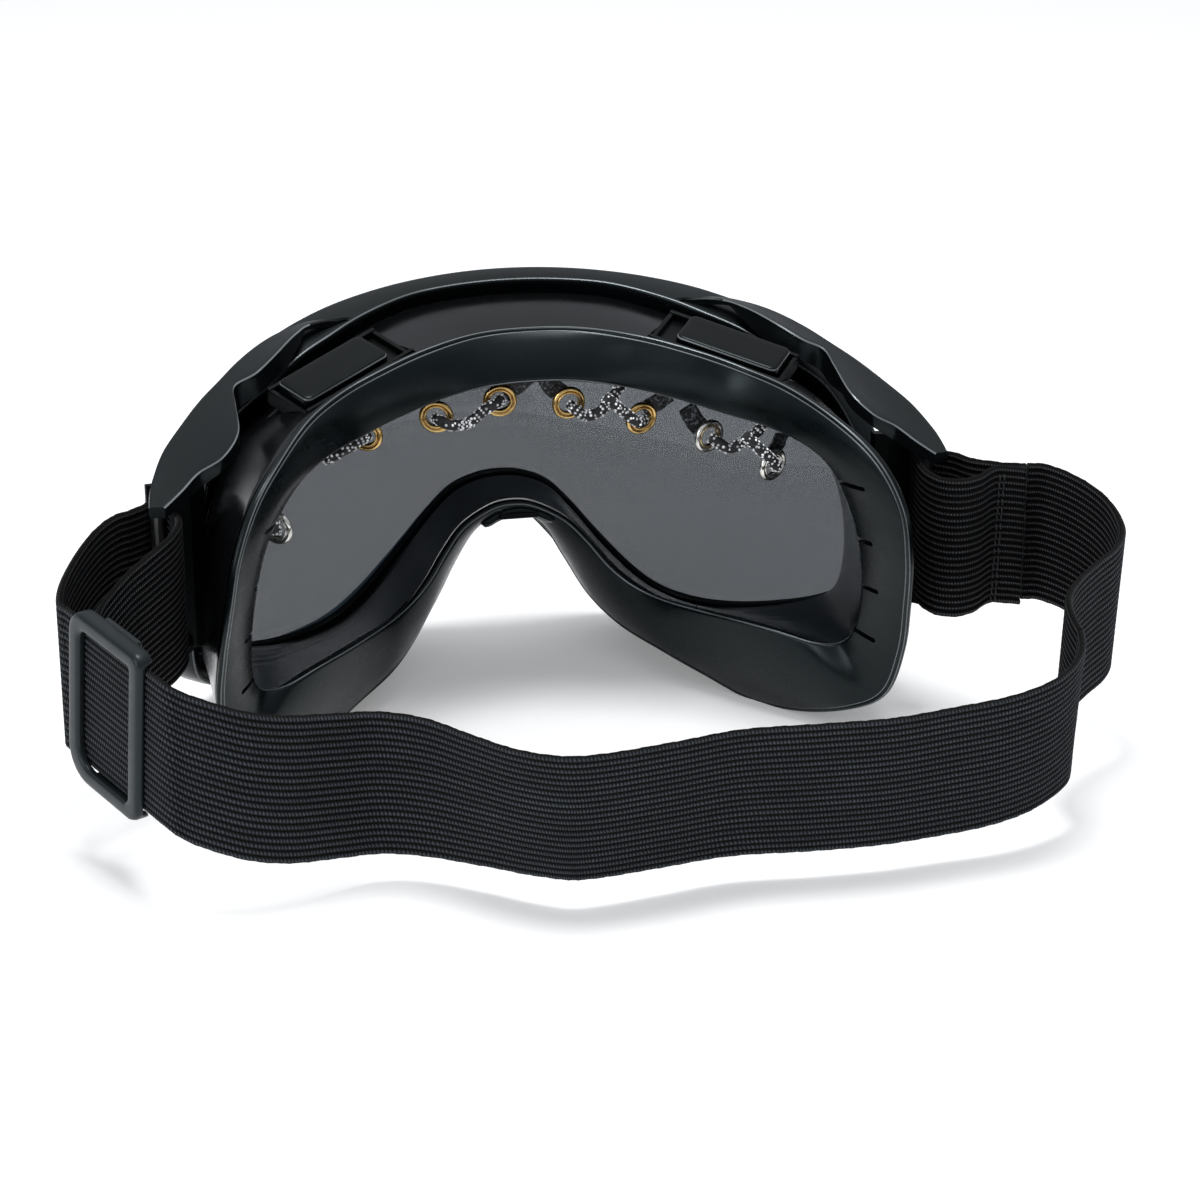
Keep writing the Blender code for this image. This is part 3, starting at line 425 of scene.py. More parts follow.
def webbing(name, thread, gap, tick, slant, thin, sheen):
    """Elastic webbing. UV: U in millimetres along the strap, V in ribs across it. Each rib is a row of slanted stitches."""
    s = Shade(name, thread, 0.78)
    s.bsdf.inputs["Sheen Weight"].default_value = sheen
    s.bsdf.inputs["Sheen Roughness"].default_value = 0.45
    s.bsdf.inputs["Specular IOR Level"].default_value = 0.16
    split = s.nodes.new("ShaderNodeSeparateXYZ")
    s.links.new(s.where("UV"), split.inputs["Vector"])
    along, rows = split.outputs["X"], split.outputs["Y"]
    wobble = s.noise(s.where("UV", (0.35, 0.9, 1)), 1.0, 4.0)
    phase = s.maths("ADD", s.maths("MULTIPLY", along, 2 * math.pi / tick), s.maths("MULTIPLY", rows, slant))
    phase = s.maths("ADD", phase, s.maths("MULTIPLY", wobble, 7.0))
    ticks = s.span(s.maths("SINE", phase, 0.0), -1.0, 1.0, 0.0, 1.0)
    # painted highlight and shade: the colour rises towards each rib's crest and falls to the near-black gap colour in
    # the grooves between ribs
    crest_painted_highlight = s.maths("ABSOLUTE", s.maths("SINE", s.maths("MULTIPLY", rows, math.pi), 0.0), 0.0)
    crest_painted_highlight = s.maths("POWER", crest_painted_highlight, thin)
    fluff = s.noise(s.where(), 4200.0, 4.0, 0.7)
    worn = s.noise(s.where("UV", (0.06, 0.5, 1)), 1.0, 4.0, 0.6)
    shade = s.maths("MULTIPLY", s.span(ticks, 0.1, 0.9, 0.12, 1.0), s.span(fluff, 0.3, 0.7, 0.4, 1.1))
    shade = s.maths("MULTIPLY", shade, s.span(worn, 0.3, 0.75, 0.65, 1.15))
    shade = s.maths("MULTIPLY", shade, crest_painted_highlight)
    s.colour(s.blend(shade, gap, thread))
    s.rough(s.span(fluff, 0.2, 0.8, 0.62, 0.95))
    s.bump(s.maths("ADD", s.span(ticks, 0, 1, 0, 0.8), s.span(fluff, 0, 1, 0, 0.5)), 0.8, 0.3)
    return s.mat


# thread is the colour at each rib's crest, its own tone lifted as a painted highlight; gap is the near-black painted
# shade between ribs
STRAP_OUT = webbing("webbing_outer", (0.085, 0.098, 0.115), (0.0004, 0.0004, 0.0005), 0.78, 2.1, 2.6, 0.02)
STRAP_IN = webbing("webbing_inner", (0.13, 0.137, 0.15), (0.0002, 0.0002, 0.0003), 0.6, 1.2, 12.0, 0.0)


def thread_mat():
    s = Shade("stitch_thread", (0.012, 0.013, 0.015), 0.7)
    twist = s.wave(s.where(), 2400.0, 1.0, 1.0, "DIAGONAL")
    s.colour(s.blend(twist, (0.004, 0.004, 0.005), (0.035, 0.037, 0.04)))
    s.bump(twist, 0.5, 0.08)
    return s.mat


def lace_mat():
    s = Shade("lace_braid", (0.02, 0.02, 0.022), 0.75)
    weave = s.voronoi(s.where(), 1500.0)
    s.colour(s.blend(s.span(weave, 0.0, 0.6, 0.0, 1.0), (0.001, 0.001, 0.0012), (0.018, 0.018, 0.02)))
    s.bump(weave, 0.8, 0.15)
    return s.mat


def stone_mat():
    s = Shade("clear_stones", (0.93, 0.94, 0.96), 0.06)
    s.bsdf.inputs["Metallic"].default_value = 0.15
    # painted glow: a small emission makes the clear stones shine with no lamp on them
    s.bsdf.inputs["Emission Color"].default_value = (0.9, 0.93, 1.0, 1.0)
    s.bsdf.inputs["Emission Strength"].default_value = 0.12
    s.bsdf.inputs["IOR"].default_value = 1.7
    s.colour(s.blend(s.span(s.noise(s.where(), 700.0, 1.0), 0.4, 0.6, 0.0, 1.0), (0.3, 0.31, 0.33), (0.98, 0.98, 0.98)))
    s.rough(s.span(s.voronoi(s.where(), 1100.0), 0.0, 0.7, 0.03, 0.2))
    return s.mat


def glitter_mat():
    s = Shade("glitter_ribbon", (0.01, 0.01, 0.012), 0.5)
    cells = s.nodes.new("ShaderNodeTexVoronoi")
    cells.inputs["Scale"].default_value = 2100.0
    s.links.new(s.where(), cells.inputs["Vector"])
    split = s.nodes.new("ShaderNodeSeparateColor")
    s.links.new(cells.outputs["Color"], split.inputs["Color"])
    fleck = s.span(split.outputs["Red"], 0.72, 0.9, 0.0, 1.0)
    s.colour(s.blend(fleck, (0.002, 0.0024, 0.003), (0.1, 0.11, 0.13)))
    s.rough(s.span(fleck, 0, 1, 0.6, 0.25))
    s.bump(split.outputs["Green"], 0.7, 0.2)
    return s.mat


NICKEL = polished("eyelet_nickel", (0.78, 0.77, 0.73), (0.2, 0.19, 0.17))
BRASS = polished("eyelet_brass", (0.7, 0.48, 0.19), (0.25, 0.14, 0.03))
INNER_RING = polished("eyelet_inner", (0.62, 0.5, 0.3), (0.15, 0.1, 0.04))
STEEL, FELT, THREAD = steel(), felt(), thread_mat()
LACE, STONE, GLITTER = lace_mat(), stone_mat(), glitter_mat()
SMOKE = smoke("smoke_lens", (0.002, 0.008, 0.016), 0.7)
# painted glow: a faint blue emission on the smoked lens stands in for light passing through it
lens_painted_glow = SMOKE.node_tree.nodes["Principled BSDF"].inputs
lens_painted_glow["Emission Color"].default_value = (0.45, 0.7, 1.0, 1.0)
lens_painted_glow["Emission Strength"].default_value = 0.025
CLEAR = smoke("clear_pane", (0.02, 0.022, 0.025), 0.06, 0.02)

# ------------------------------------------------------------------ outlines shared with the CAD part
LENS_RADIUS, FRONT_TILT, FRONT_Y, FRONT_Z = 88.0, math.radians(14.0), 79.0, 10.0
GROUND, RIM_REAR, SEAL_THICK, GAP, SHELL_THICK, SHROUD_THICK = -25.3, -4.6, 1.6, 0.35, 1.8, 1.3
STRAP_WIDTH, STRAP_THICK, PIN_X, PIN_Y, PIN_R = 32.0, 1.5, 84.8, 9.6, 1.5
VENT_LONG, VENT_SHORT, VENT_RISE, VENT_TRAVEL = 24.2, 10.0, 3.4, 4.0
BUCKLE_LONG, BUCKLE_HIGH = 27.0, 38.0


def front_arc(s, w, off):
    phi = np.asarray(s, float) / LENS_RADIUS
    n = (LENS_RADIUS + off) * np.cos(phi) - LENS_RADIUS
    return np.stack(
        [
            (LENS_RADIUS + off) * np.sin(phi),
            FRONT_Y + n * math.cos(FRONT_TILT) - w * math.sin(FRONT_TILT),
            FRONT_Z + n * math.sin(FRONT_TILT) + w * math.cos(FRONT_TILT),
        ],
        -1,
    )


def to_arc(rows):
    rows = np.asarray(rows, float).copy()
    rows[:, 0] = LENS_RADIUS * np.arcsin(rows[:, 0] / LENS_RADIUS)
    return rows


SEAL_OUTER = [
    (0, 36, 63.8), (12, 34.2, 63.6), (24, 27.4, 62.8), (35, 21, 60.6), (44.4, 15.5, 57.8), (52.6, 5.5, 55.4),
    (60, -7, 51.2), (66.3, -16, 44.8), (70.6, -20.5, 35), (72.7, -19.4, 23), (74.2, -14.6, 10.5), (74.8, -10, -2),
    (72.6, -5.8, -13.6), (66.3, -0.5, -19), (58.5, 12, -24.2), (50, 24.5, -26), (40.5, 32.2, -22), (31.5, 38.6, -17.6),
    (24.6, 51, -15.6), (18.8, 60.2, -10.8), (13.3, 62.6, -1.6), (8.3, 61.2, 7), (3.6, 60, 11), (0, 59.8, 11.8),
]
SEAL_INNER = [
    (0, 29.5, 53.2), (10.5, 28.7, 52.8), (21, 25.8, 51.3), (31, 21.2, 49.3), (40, 16.5, 47), (48, 9, 45.8),
    (54.5, 1.3, 43.6), (59, -3, 39.6), (63, -3.4, 31.5), (65.6, -4, 22), (66.9, -2.8, 11), (66.7, 0.3, 1),
    (64.5, 3.6, -4), (59, 6, -4.6), (51, 12, -3.4), (43.8, 19.2, -3.1), (37.5, 28, -3.7), (31, 37, -3.9),
    (25.2, 42.8, -2), (20.6, 46.3, 1.5), (16.3, 49.6, 6.6), (11.6, 53, 11), (5, 54.6, 14.4), (0, 55, 15.2),
]
LENS_EDGE = [
    (0, 54.8), (15, 54.6), (30, 53.8), (44, 52), (56, 49), (66, 43.6),
    (73, 36.4), (77, 28), (79, 17), (79.4, 6), (78.4, -3.4), (74.8, -11),
    (69.5, -17.5), (62, -23.4), (54, -27), (46, -28), (39, -26.6), (32.5, -22.6),
    (26.5, -17), (21, -11), (16, -5), (10.5, 0.8), (5, 3.3), (0, 3.9),
]
RIM_EDGE = [
    (0, 60.9), (15.5, 60.7), (31, 60.1), (45, 59), (57.5, 56.6), (68, 51.2),
    (75.3, 42.6), (79.4, 31.5), (81.4, 18.5), (81.9, 5.5), (80.8, -6), (77, -14.9),
    (71.5, -22), (63.5, -29), (55, -33.2), (45.5, -34.6), (37, -32.6), (29.8, -28),
    (23.4, -22), (17.8, -15.8), (12.9, -9.6), (8.2, -4.4), (3.8, -1.8), (0, -1.3),
]

lens_loop = outline(to_arc(LENS_EDGE))
rim_loop = outline(to_arc(RIM_EDGE))
rim_way = unit(rim_loop - lens_loop)
rim_span = np.linalg.norm(rim_loop - lens_loop, axis=1, keepdims=True)
seal_out = outline(SEAL_OUTER)
seal_in = outline(SEAL_INNER)
COUNT = len(lens_loop)


def rim_depth(loop):
    x = np.abs(loop[:, 0])
    upper = 1 / (1 + np.exp(-(loop[:, 1] - 44) / 2.0))
    return RIM_REAR - 4.2 * upper * np.clip((x - 24) / 26, 0, 1) * np.clip((82 - x) / 10, 0, 1)


def on_front(loop, off):
    return front_arc(loop[:, 0], loop[:, 1], off)


# ------------------------------------------------------------------ front frame
rear = smooth_loop(rim_depth(rim_loop), 4)
lens_side, edge_side = (lambda d: lens_loop + rim_way * d), (lambda d: rim_loop + rim_way * d)
profile = [
    (lens_side(-2.2), 0.35 + 0 * rear), (lens_side(-2.32), 0.75 + 0 * rear), (lens_side(-2.15), 1.2 + 0 * rear),
    (lens_side(-1.6), 1.55 + 0 * rear), (lens_loop + rim_way * rim_span * 0.3, 2.35 + 0 * rear),
    (lens_loop + rim_way * rim_span * 0.5, 2.6 + 0 * rear), (edge_side(-1.5), 2.35 + 0 * rear),
    (edge_side(-0.75), 1.9 + 0 * rear), (edge_side(-0.25), 1.35 + 0 * rear), (edge_side(0.0), 0.6 + 0 * rear),
    (edge_side(0.08), rear * 0.4), (edge_side(0.0), rear + 0.55), (edge_side(-0.12), rear + 0.18), (edge_side(-0.45), rear),
    (edge_side(-0.95), rear), (edge_side(-1.2), rear + 0.14), (edge_side(-1.3), rear + 0.6), (edge_side(-1.35), rear + 1.5),
    (lens_side(0.75), rear + 1.5), (lens_side(0.45), rear + 1.7), (lens_side(0.45), 0.35 + 0 * rear),
]
sections = np.stack([front_arc(loop[:, 0], loop[:, 1], off) for loop, off in profile], 1)
sections[:, :, 2] = np.maximum(sections[:, :, 2], GROUND)
# strips 11 and 15 get the painted edge highlight
loft("front_frame_skin", sections, FRAME_PLASTIC, edges=(11, 15), sharp=50, stands_for=["front_frame"])


# ------------------------------------------------------------------ lenses
def lens_grid(inset, columns, rows):
    half = len(lens_loop) // 2
    right = lens_loop[: half + 1]
    widest = int(np.argmax(right[:, 0]))
    top, bottom = right[: widest + 1], right[widest:][::-1]
    reach = right[widest, 0] - inset
    grid = []
    for j in range(-columns, columns + 1):
        s = reach * math.sin(math.pi / 2 * j / columns)
        a = abs(s) * right[widest, 0] / reach
        high = np.interp(a, top[:, 0], top[:, 1]) - inset
        low = np.interp(a, bottom[:, 0], bottom[:, 1]) + inset
        if high - low < 3.0:
            middle = (high + low) / 2
            high, low = middle + 1.5, middle - 1.5
        grid.append([(s, low + (high - low) * i / rows) for i in range(rows + 1)])
    return np.array(grid)


def lens(name, inset, outer, thick, mat, node):
    grid = lens_grid(inset, 46, 16)
    n, m = grid.shape[:2]
    face = front_arc(grid[..., 0], grid[..., 1], outer).reshape(-1, 3)
    back = front_arc(grid[..., 0], grid[..., 1], outer - thick).reshape(-1, 3)
    verts = np.vstack([face, back])
    faces = []
    for i in range(n - 1):
        for j in range(m - 1):
            a, b, c, d = i * m + j, (i + 1) * m + j, (i + 1) * m + j + 1, i * m + j + 1
            faces += [(a, b, c, d), (a + n * m, d + n * m, c + n * m, b + n * m)]
    edge = [i * m for i in range(n)] + [(n - 1) * m + j for j in range(1, m)]
    edge += [i * m + m - 1 for i in range(n - 2, -1, -1)] + [j for j in range(m - 2, 0, -1)]
    for k, a in enumerate(edge):
        b = edge[(k + 1) % len(edge)]
        faces.append((a, b, b + n * m, a + n * m))
    return piece(name, verts, faces, mat, stands_for=[node])


lens("outer_lens_skin", 0.3, 0.0, 1.4, SMOKE, "outer_lens")
lens("inner_lens_skin", 1.8, -4.0, 1.0, CLEAR, "inner_lens")

# gasket between the panes, with three soft lips on its inner side
lips = []
for base, off in ((0.5, -1.75), (3.6, -1.75), (4.4, -1.95), (4.4, -2.2), (3.9, -2.4), (4.4, -2.6), (4.4, -2.85), (3.9, -3.05),
                  (4.4, -3.25), (4.3, -3.5), (3.6, -3.65), (0.5, -3.65)):
    lips.append(on_front(lens_loop - rim_way * base, off))
loft("lens_gasket_skin", np.stack(lips, 1), RUBBER, stands_for=["lens_gasket"])

# ------------------------------------------------------------------ face seal
across = unit(seal_in - seal_out)
width = np.linalg.norm(seal_in - seal_out, axis=1, keepdims=True)
along_seal = tangents(seal_out + 0.5 * (seal_in - seal_out))
forward = smooth_loop(unit(np.cross(along_seal, across)), 3)


def seal_at(d, n):
    """d millimetres in from the outer edge (or, if negative, out from the opening), n deep from the face side."""
    d = width + d if np.ndim(d) == 0 and d < 0 else d * np.ones_like(width)
    share = np.clip(d / width, 0, 1)
    bow = 4 * share * (1 - share) * np.minimum(width, 18) * 0.07
    return seal_out + across * d + forward * (n - bow)


def seal_share(t, n):
    bow = 4 * t * (1 - t) * np.minimum(width, 18) * 0.07
    return seal_out + (seal_in - seal_out) * t + forward * (n - bow)


seal_profile = [
    seal_at(0.02, 0.95), seal_at(0.0, 0.5), seal_at(0.1, 0.2), seal_at(0.3, 0.03), seal_at(0.62, 0.0), seal_at(0.84, 0.06),
    seal_at(0.95, 0.2), seal_at(1.12, 0.2), seal_at(1.3, 0.08), seal_at(1.6, 0.02), seal_share(0.3, 0.0), seal_share(0.5, 0.0),
    seal_share(0.7, 0.0), seal_at(-0.9, 0.0), seal_at(-0.5, 0.04), seal_at(-0.2, 0.16), seal_at(-0.04, 0.4), seal_at(-0.0001, 0.8),
    seal_at(-0.04, 1.2), seal_at(-0.3, 1.5), seal_at(-0.8, SEAL_THICK), seal_share(0.5, SEAL_THICK), seal_at(0.7, SEAL_THICK),
    seal_at(0.2, 1.4),
]
seal_sections = np.stack(seal_profile, 1)
seal_sections[:, :, 2] = np.maximum(seal_sections[:, :, 2], GROUND)
# strips 2, 7 and 15 get painted edge highlight lines
seal = loft("face_seal_skin", seal_sections, SEAL, edges=(2, 7, 15), sharp=60, stands_for=["face_seal"])
SLOTS = [((60.6, -5.0, 36.8), (66.6, -8.6, 37.6)), ((65.5, -3.6, 23.4), (69.0, -9.2, 24.2)),
         ((67.0, -3.2, 12.0), (70.3, -8.0, 12.2)), ((66.6, 0.0, 0.2), (70.3, -5.0, -0.8))]
tools = []
for inner, outer in SLOTS:
    for flip in (1, -1):
        p, q = (np.array(v, float) * np.array([flip, 1, 1]) for v in (inner, outer))
        run = unit(q - p)
        up = unit(np.array([0, 0, 1.0]) - run * run[2])
        deep = np.cross(run, up)
        tool = hidden_box("slot", (p + q) / 2 - run * 0.8, run, up, deep, (np.linalg.norm(q - p) + 1.6, 1.15, 9.0))
        bevel(tool, 0.5, 4)
        tools.append(tool)
carve(seal, tools)
seal.data.shade_smooth()
seal.data.set_sharp_from_angle(angle=math.radians(60))

# ------------------------------------------------------------------ body shell and inner shroud
shell_rear = seal_out + across * 1.0 + forward * (SEAL_THICK + GAP)
front_shift = rim_span * 0.47
rear_off = rear - 0.45


def shell_front(inward, back=0.0):
    loop = lens_loop + rim_way * (front_shift - inward)
    return front_arc(loop[:, 0], loop[:, 1], rear_off - back)


middle = (shell_rear + shell_front(0)) / 2 - np.array([0, 40.0, 20.0])
middle[:, 1] = 0
swell = unit(middle)


def shell_at(t, inward):
    swell_now = 0.85 * math.sin(math.pi * min(1, max(0, t))) ** 0.8
    a = shell_rear + across * inward
    return a + (shell_front(inward) - a) * t + swell * swell_now


outer_ts = [0.02, 0.06, 0.12, 0.22, 0.34, 0.46, 0.58, 0.7, 0.82, 0.92, 0.975]
shell_sections = [shell_at(0.0, 0.5), shell_at(0.003, 0.15)]
shell_sections += [shell_at(t, 0.0) for t in outer_ts]
shell_sections += [shell_at(0.99, 0.1), shell_at(1.0, 0.45), shell_at(1.0, 1.35), shell_at(0.99, 1.7)]
shell_sections += [shell_at(t, SHELL_THICK) for t in (0.9, 0.6, 0.3, 0.05)] + [shell_at(0.0, 1.4)]
# strips 12 and 13 get the painted edge highlight
shell = loft("body_shell_skin", np.stack(shell_sections, 1), SHELL_PLASTIC, edges=(12, 13), stands_for=["body_shell"])

back_off = 0.6 + 2.6 / (1 + np.exp(-(seal_in[:, 2:3] - 38) / 3))
shroud_a = seal_in - across * back_off + forward * (SEAL_THICK + GAP)
shroud_b = seal_in - across * (back_off + SHROUD_THICK) + forward * (SEAL_THICK + GAP)
shroud_c = on_front(lens_loop - rim_way * (4.6 - SHROUD_THICK), -5.6)
shroud_d = on_front(lens_loop - rim_way * 4.6, -5.6)
rows = []
for t in np.linspace(0, 1, 9):
    rows.append(shroud_b + (shroud_c - shroud_b) * t)
for t in np.linspace(1, 0, 25):
    step = 0.16 * math.cos(t * 60) if 0.62 < t < 0.98 else 0.0  # moulded ribs towards the lens
    inner = shroud_a + (shroud_d - shroud_a) * t
    rows.append(inner + unit(shroud_b - shroud_a) * step)
loft("inner_shroud_skin", np.stack(rows, 1), SHROUD_PLASTIC, stands_for=["inner_shroud"])

# ------------------------------------------------------------------ strap arms
ARM_FRONT = [(46.5, 48.4, 64.9), (51, 46.2, 64.0), (57, 42.6, 62.2), (63.5, 37.2, 60.2), (68.6, 32.0, 57.6), (73.4, 27.4, 54.6),
             (78, 21.8, 51.4), (82.6, 15.4, 47.2), (85.4, 8.8, 44), (86.5, 4.7, 42.3), (87, 0.8, 40.6)]
ARM_REAR = [(46.5, 45.2, 64.9), (50.4, 40.2, 64.0), (55.6, 32.6, 62.4), (60.6, 28.0, 60.4), (65.6, 27.2, 57.6), (66.2, 20.2, 55.4),
            (66.8, 9.6, 52.6), (70.4, 5.0, 49.6), (75.7, 4.9, 45.6), (79.6, 2.3, 42.9), (83.7, -0.4, 40.7)]
first = int(np.argmin(np.abs(front_arc(rim_loop[: COUNT // 4, 0], rim_loop[: COUNT // 4, 1], 0.0)[:, 0] - 38.0)))
inner_rail = rim_loop - rim_way * 1.5
start_f = front_arc(rim_loop[first, 0], rim_loop[first, 1], rear[first, 0] + 0.25 if rear.ndim == 2 else rear[first] + 0.25)
start_r = front_arc(inner_rail[first, 0], inner_rail[first, 1], rear[first, 0] - 0.1 if rear.ndim == 2 else rear[first] - 0.1)
ARM_FRONT = [tuple(start_f - np.array([0, 0, 0.15]))] + ARM_FRONT
ARM_REAR = [tuple(start_r - np.array([0, 0, 0.15]))] + ARM_REAR
rails = np.array(ARM_FRONT + ARM_REAR, float)


def terms(x, y):
    x, y = np.asarray(x) / 80.0, np.asarray(y) / 50.0
    return np.stack([np.ones_like(x), x, y, x * x, x * y, y * y, x**3, x * x * y], -1)


crown_fit = np.linalg.lstsq(terms(rails[:, 0], rails[:, 1]), rails[:, 2], rcond=None)[0]
print("arm surface residual", float(np.abs(terms(rails[:, 0], rails[:, 1]) @ crown_fit - rails[:, 2]).max()))


def on_crown(p, flip):
    """The point on the arms' common top surface over or under p."""
    q = np.array(p, float)
    q[:, 2] = terms(q[:, 0] * flip, q[:, 1]) @ crown_fit
    return q


for side, flip in (("right", 1), ("left", -1)):
    n = 140
    f = open_curve(np.array(ARM_FRONT) * [flip, 1, 1], n)
    r = open_curve(np.array(ARM_REAR) * [flip, 1, 1], n)
    t = np.linspace(0, 1, n)[:, None]
    thick = 1.5 + 2.0 * np.clip((t - 0.35) * 2.5, 0, 1) * np.clip((1.3 - t) * 2, 0, 1)
    # the arm grows out of the frame's edge: thin and narrow at first
    grow = np.clip(t / 0.14, 0.1, 1.0)
    grow = grow * grow * (3 - 2 * grow)
    thick = thick * np.maximum(grow, 0.3)
    gap_fr = np.linalg.norm(f - r, axis=1, keepdims=True)
    way = (f - r) / gap_fr
    edge = np.minimum(0.6, gap_fr * 0.2)
    up = np.array([0, 0, 1.0])
    sink = up * 0.25 * (1 - grow)
    skirt = np.clip((t - 0.18) * 8, 0, 1) * np.clip((0.66 - t) * 8, 0, 1)
    tops = [on_crown(f + (r - f) * u, flip) - sink for u in (0.12, 0.3, 0.5, 0.7)]
    near_f, near_r = on_crown(f - way * edge, flip) - sink, on_crown(r + way * 0.75, flip) - sink
    ring = [
        f - up * (edge + 0.2), on_crown(f - way * edge * 0.28, flip) - up * edge * 0.3 - sink, near_f, *tops, near_r,
        on_crown(r + way * 0.3, flip) - up * 0.08 - sink, on_crown(r, flip) - up * 0.42 - sink, on_crown(r, flip) - up * (thick - 0.35) - sink,
        r - way * 0.9 * skirt - up * (thick + 3.4 * skirt), r + way * 1.0 - up * (thick + 3.4 * skirt), f - way * 0.3 - up * thick, f - up * (thick - 0.35),
    ]
    # strip 8 gets the painted edge highlight
    arm = loft(f"strap_arm_{side}_skin", np.stack([x * np.ones_like(f) for x in ring], 1), ARM_PLASTIC, closed=False, sharp=32, edges=(8,),
               stands_for=[f"strap_arm_{side}"])
    # the arm's first stations keep the dark plastic, without the painted edge highlight
    for polygon in list(arm.data.polygons)[: int(0.16 * n) * len(ring)]:
        polygon.material_index = 0
    # pin bracket: lower lug, and a web behind the pin that closes the gap to the frame's side
    lug = [(82.4, 14.9), (87.2, 13.4), (88.6, 9.6), (86.9, 5.6), (83.6, 5.2), (80.6, 8.0), (78.2, 12.4), (78.6, 15.2)]
    verts = [(x * flip, y, z) for z in (2.6, 5.4) for x, y in lug]
    faces = [tuple(range(8)), tuple(range(8, 16))] + [(k, (k + 1) % 8, (k + 1) % 8 + 8, k + 8) for k in range(8)]
    bevel(piece(f"pin_bracket_{side}_lug", verts, faces, ARM_PLASTIC, stands_for=[f"pin_bracket_{side}"], flat=True), 0.4, 3)
    plan = [(74.2, 14.6), (77.4, 13.9), (83.0, 13.75), (86.6, 13.9), (86.9, 15.0), (83.0, 15.4), (77.4, 16.6), (74.2, 17.4)]
    verts = [(x * flip, y, z) for z in (2.7, 40.6) for x, y in plan]
    faces = [tuple(range(8)), tuple(range(8, 16))] + [(k, (k + 1) % 8, (k + 1) % 8 + 8, k + 8) for k in range(8)]
    bevel(piece(f"pin_bracket_{side}_web", verts, faces, BLACK_PLASTIC, flat=True), 0.3, 3)

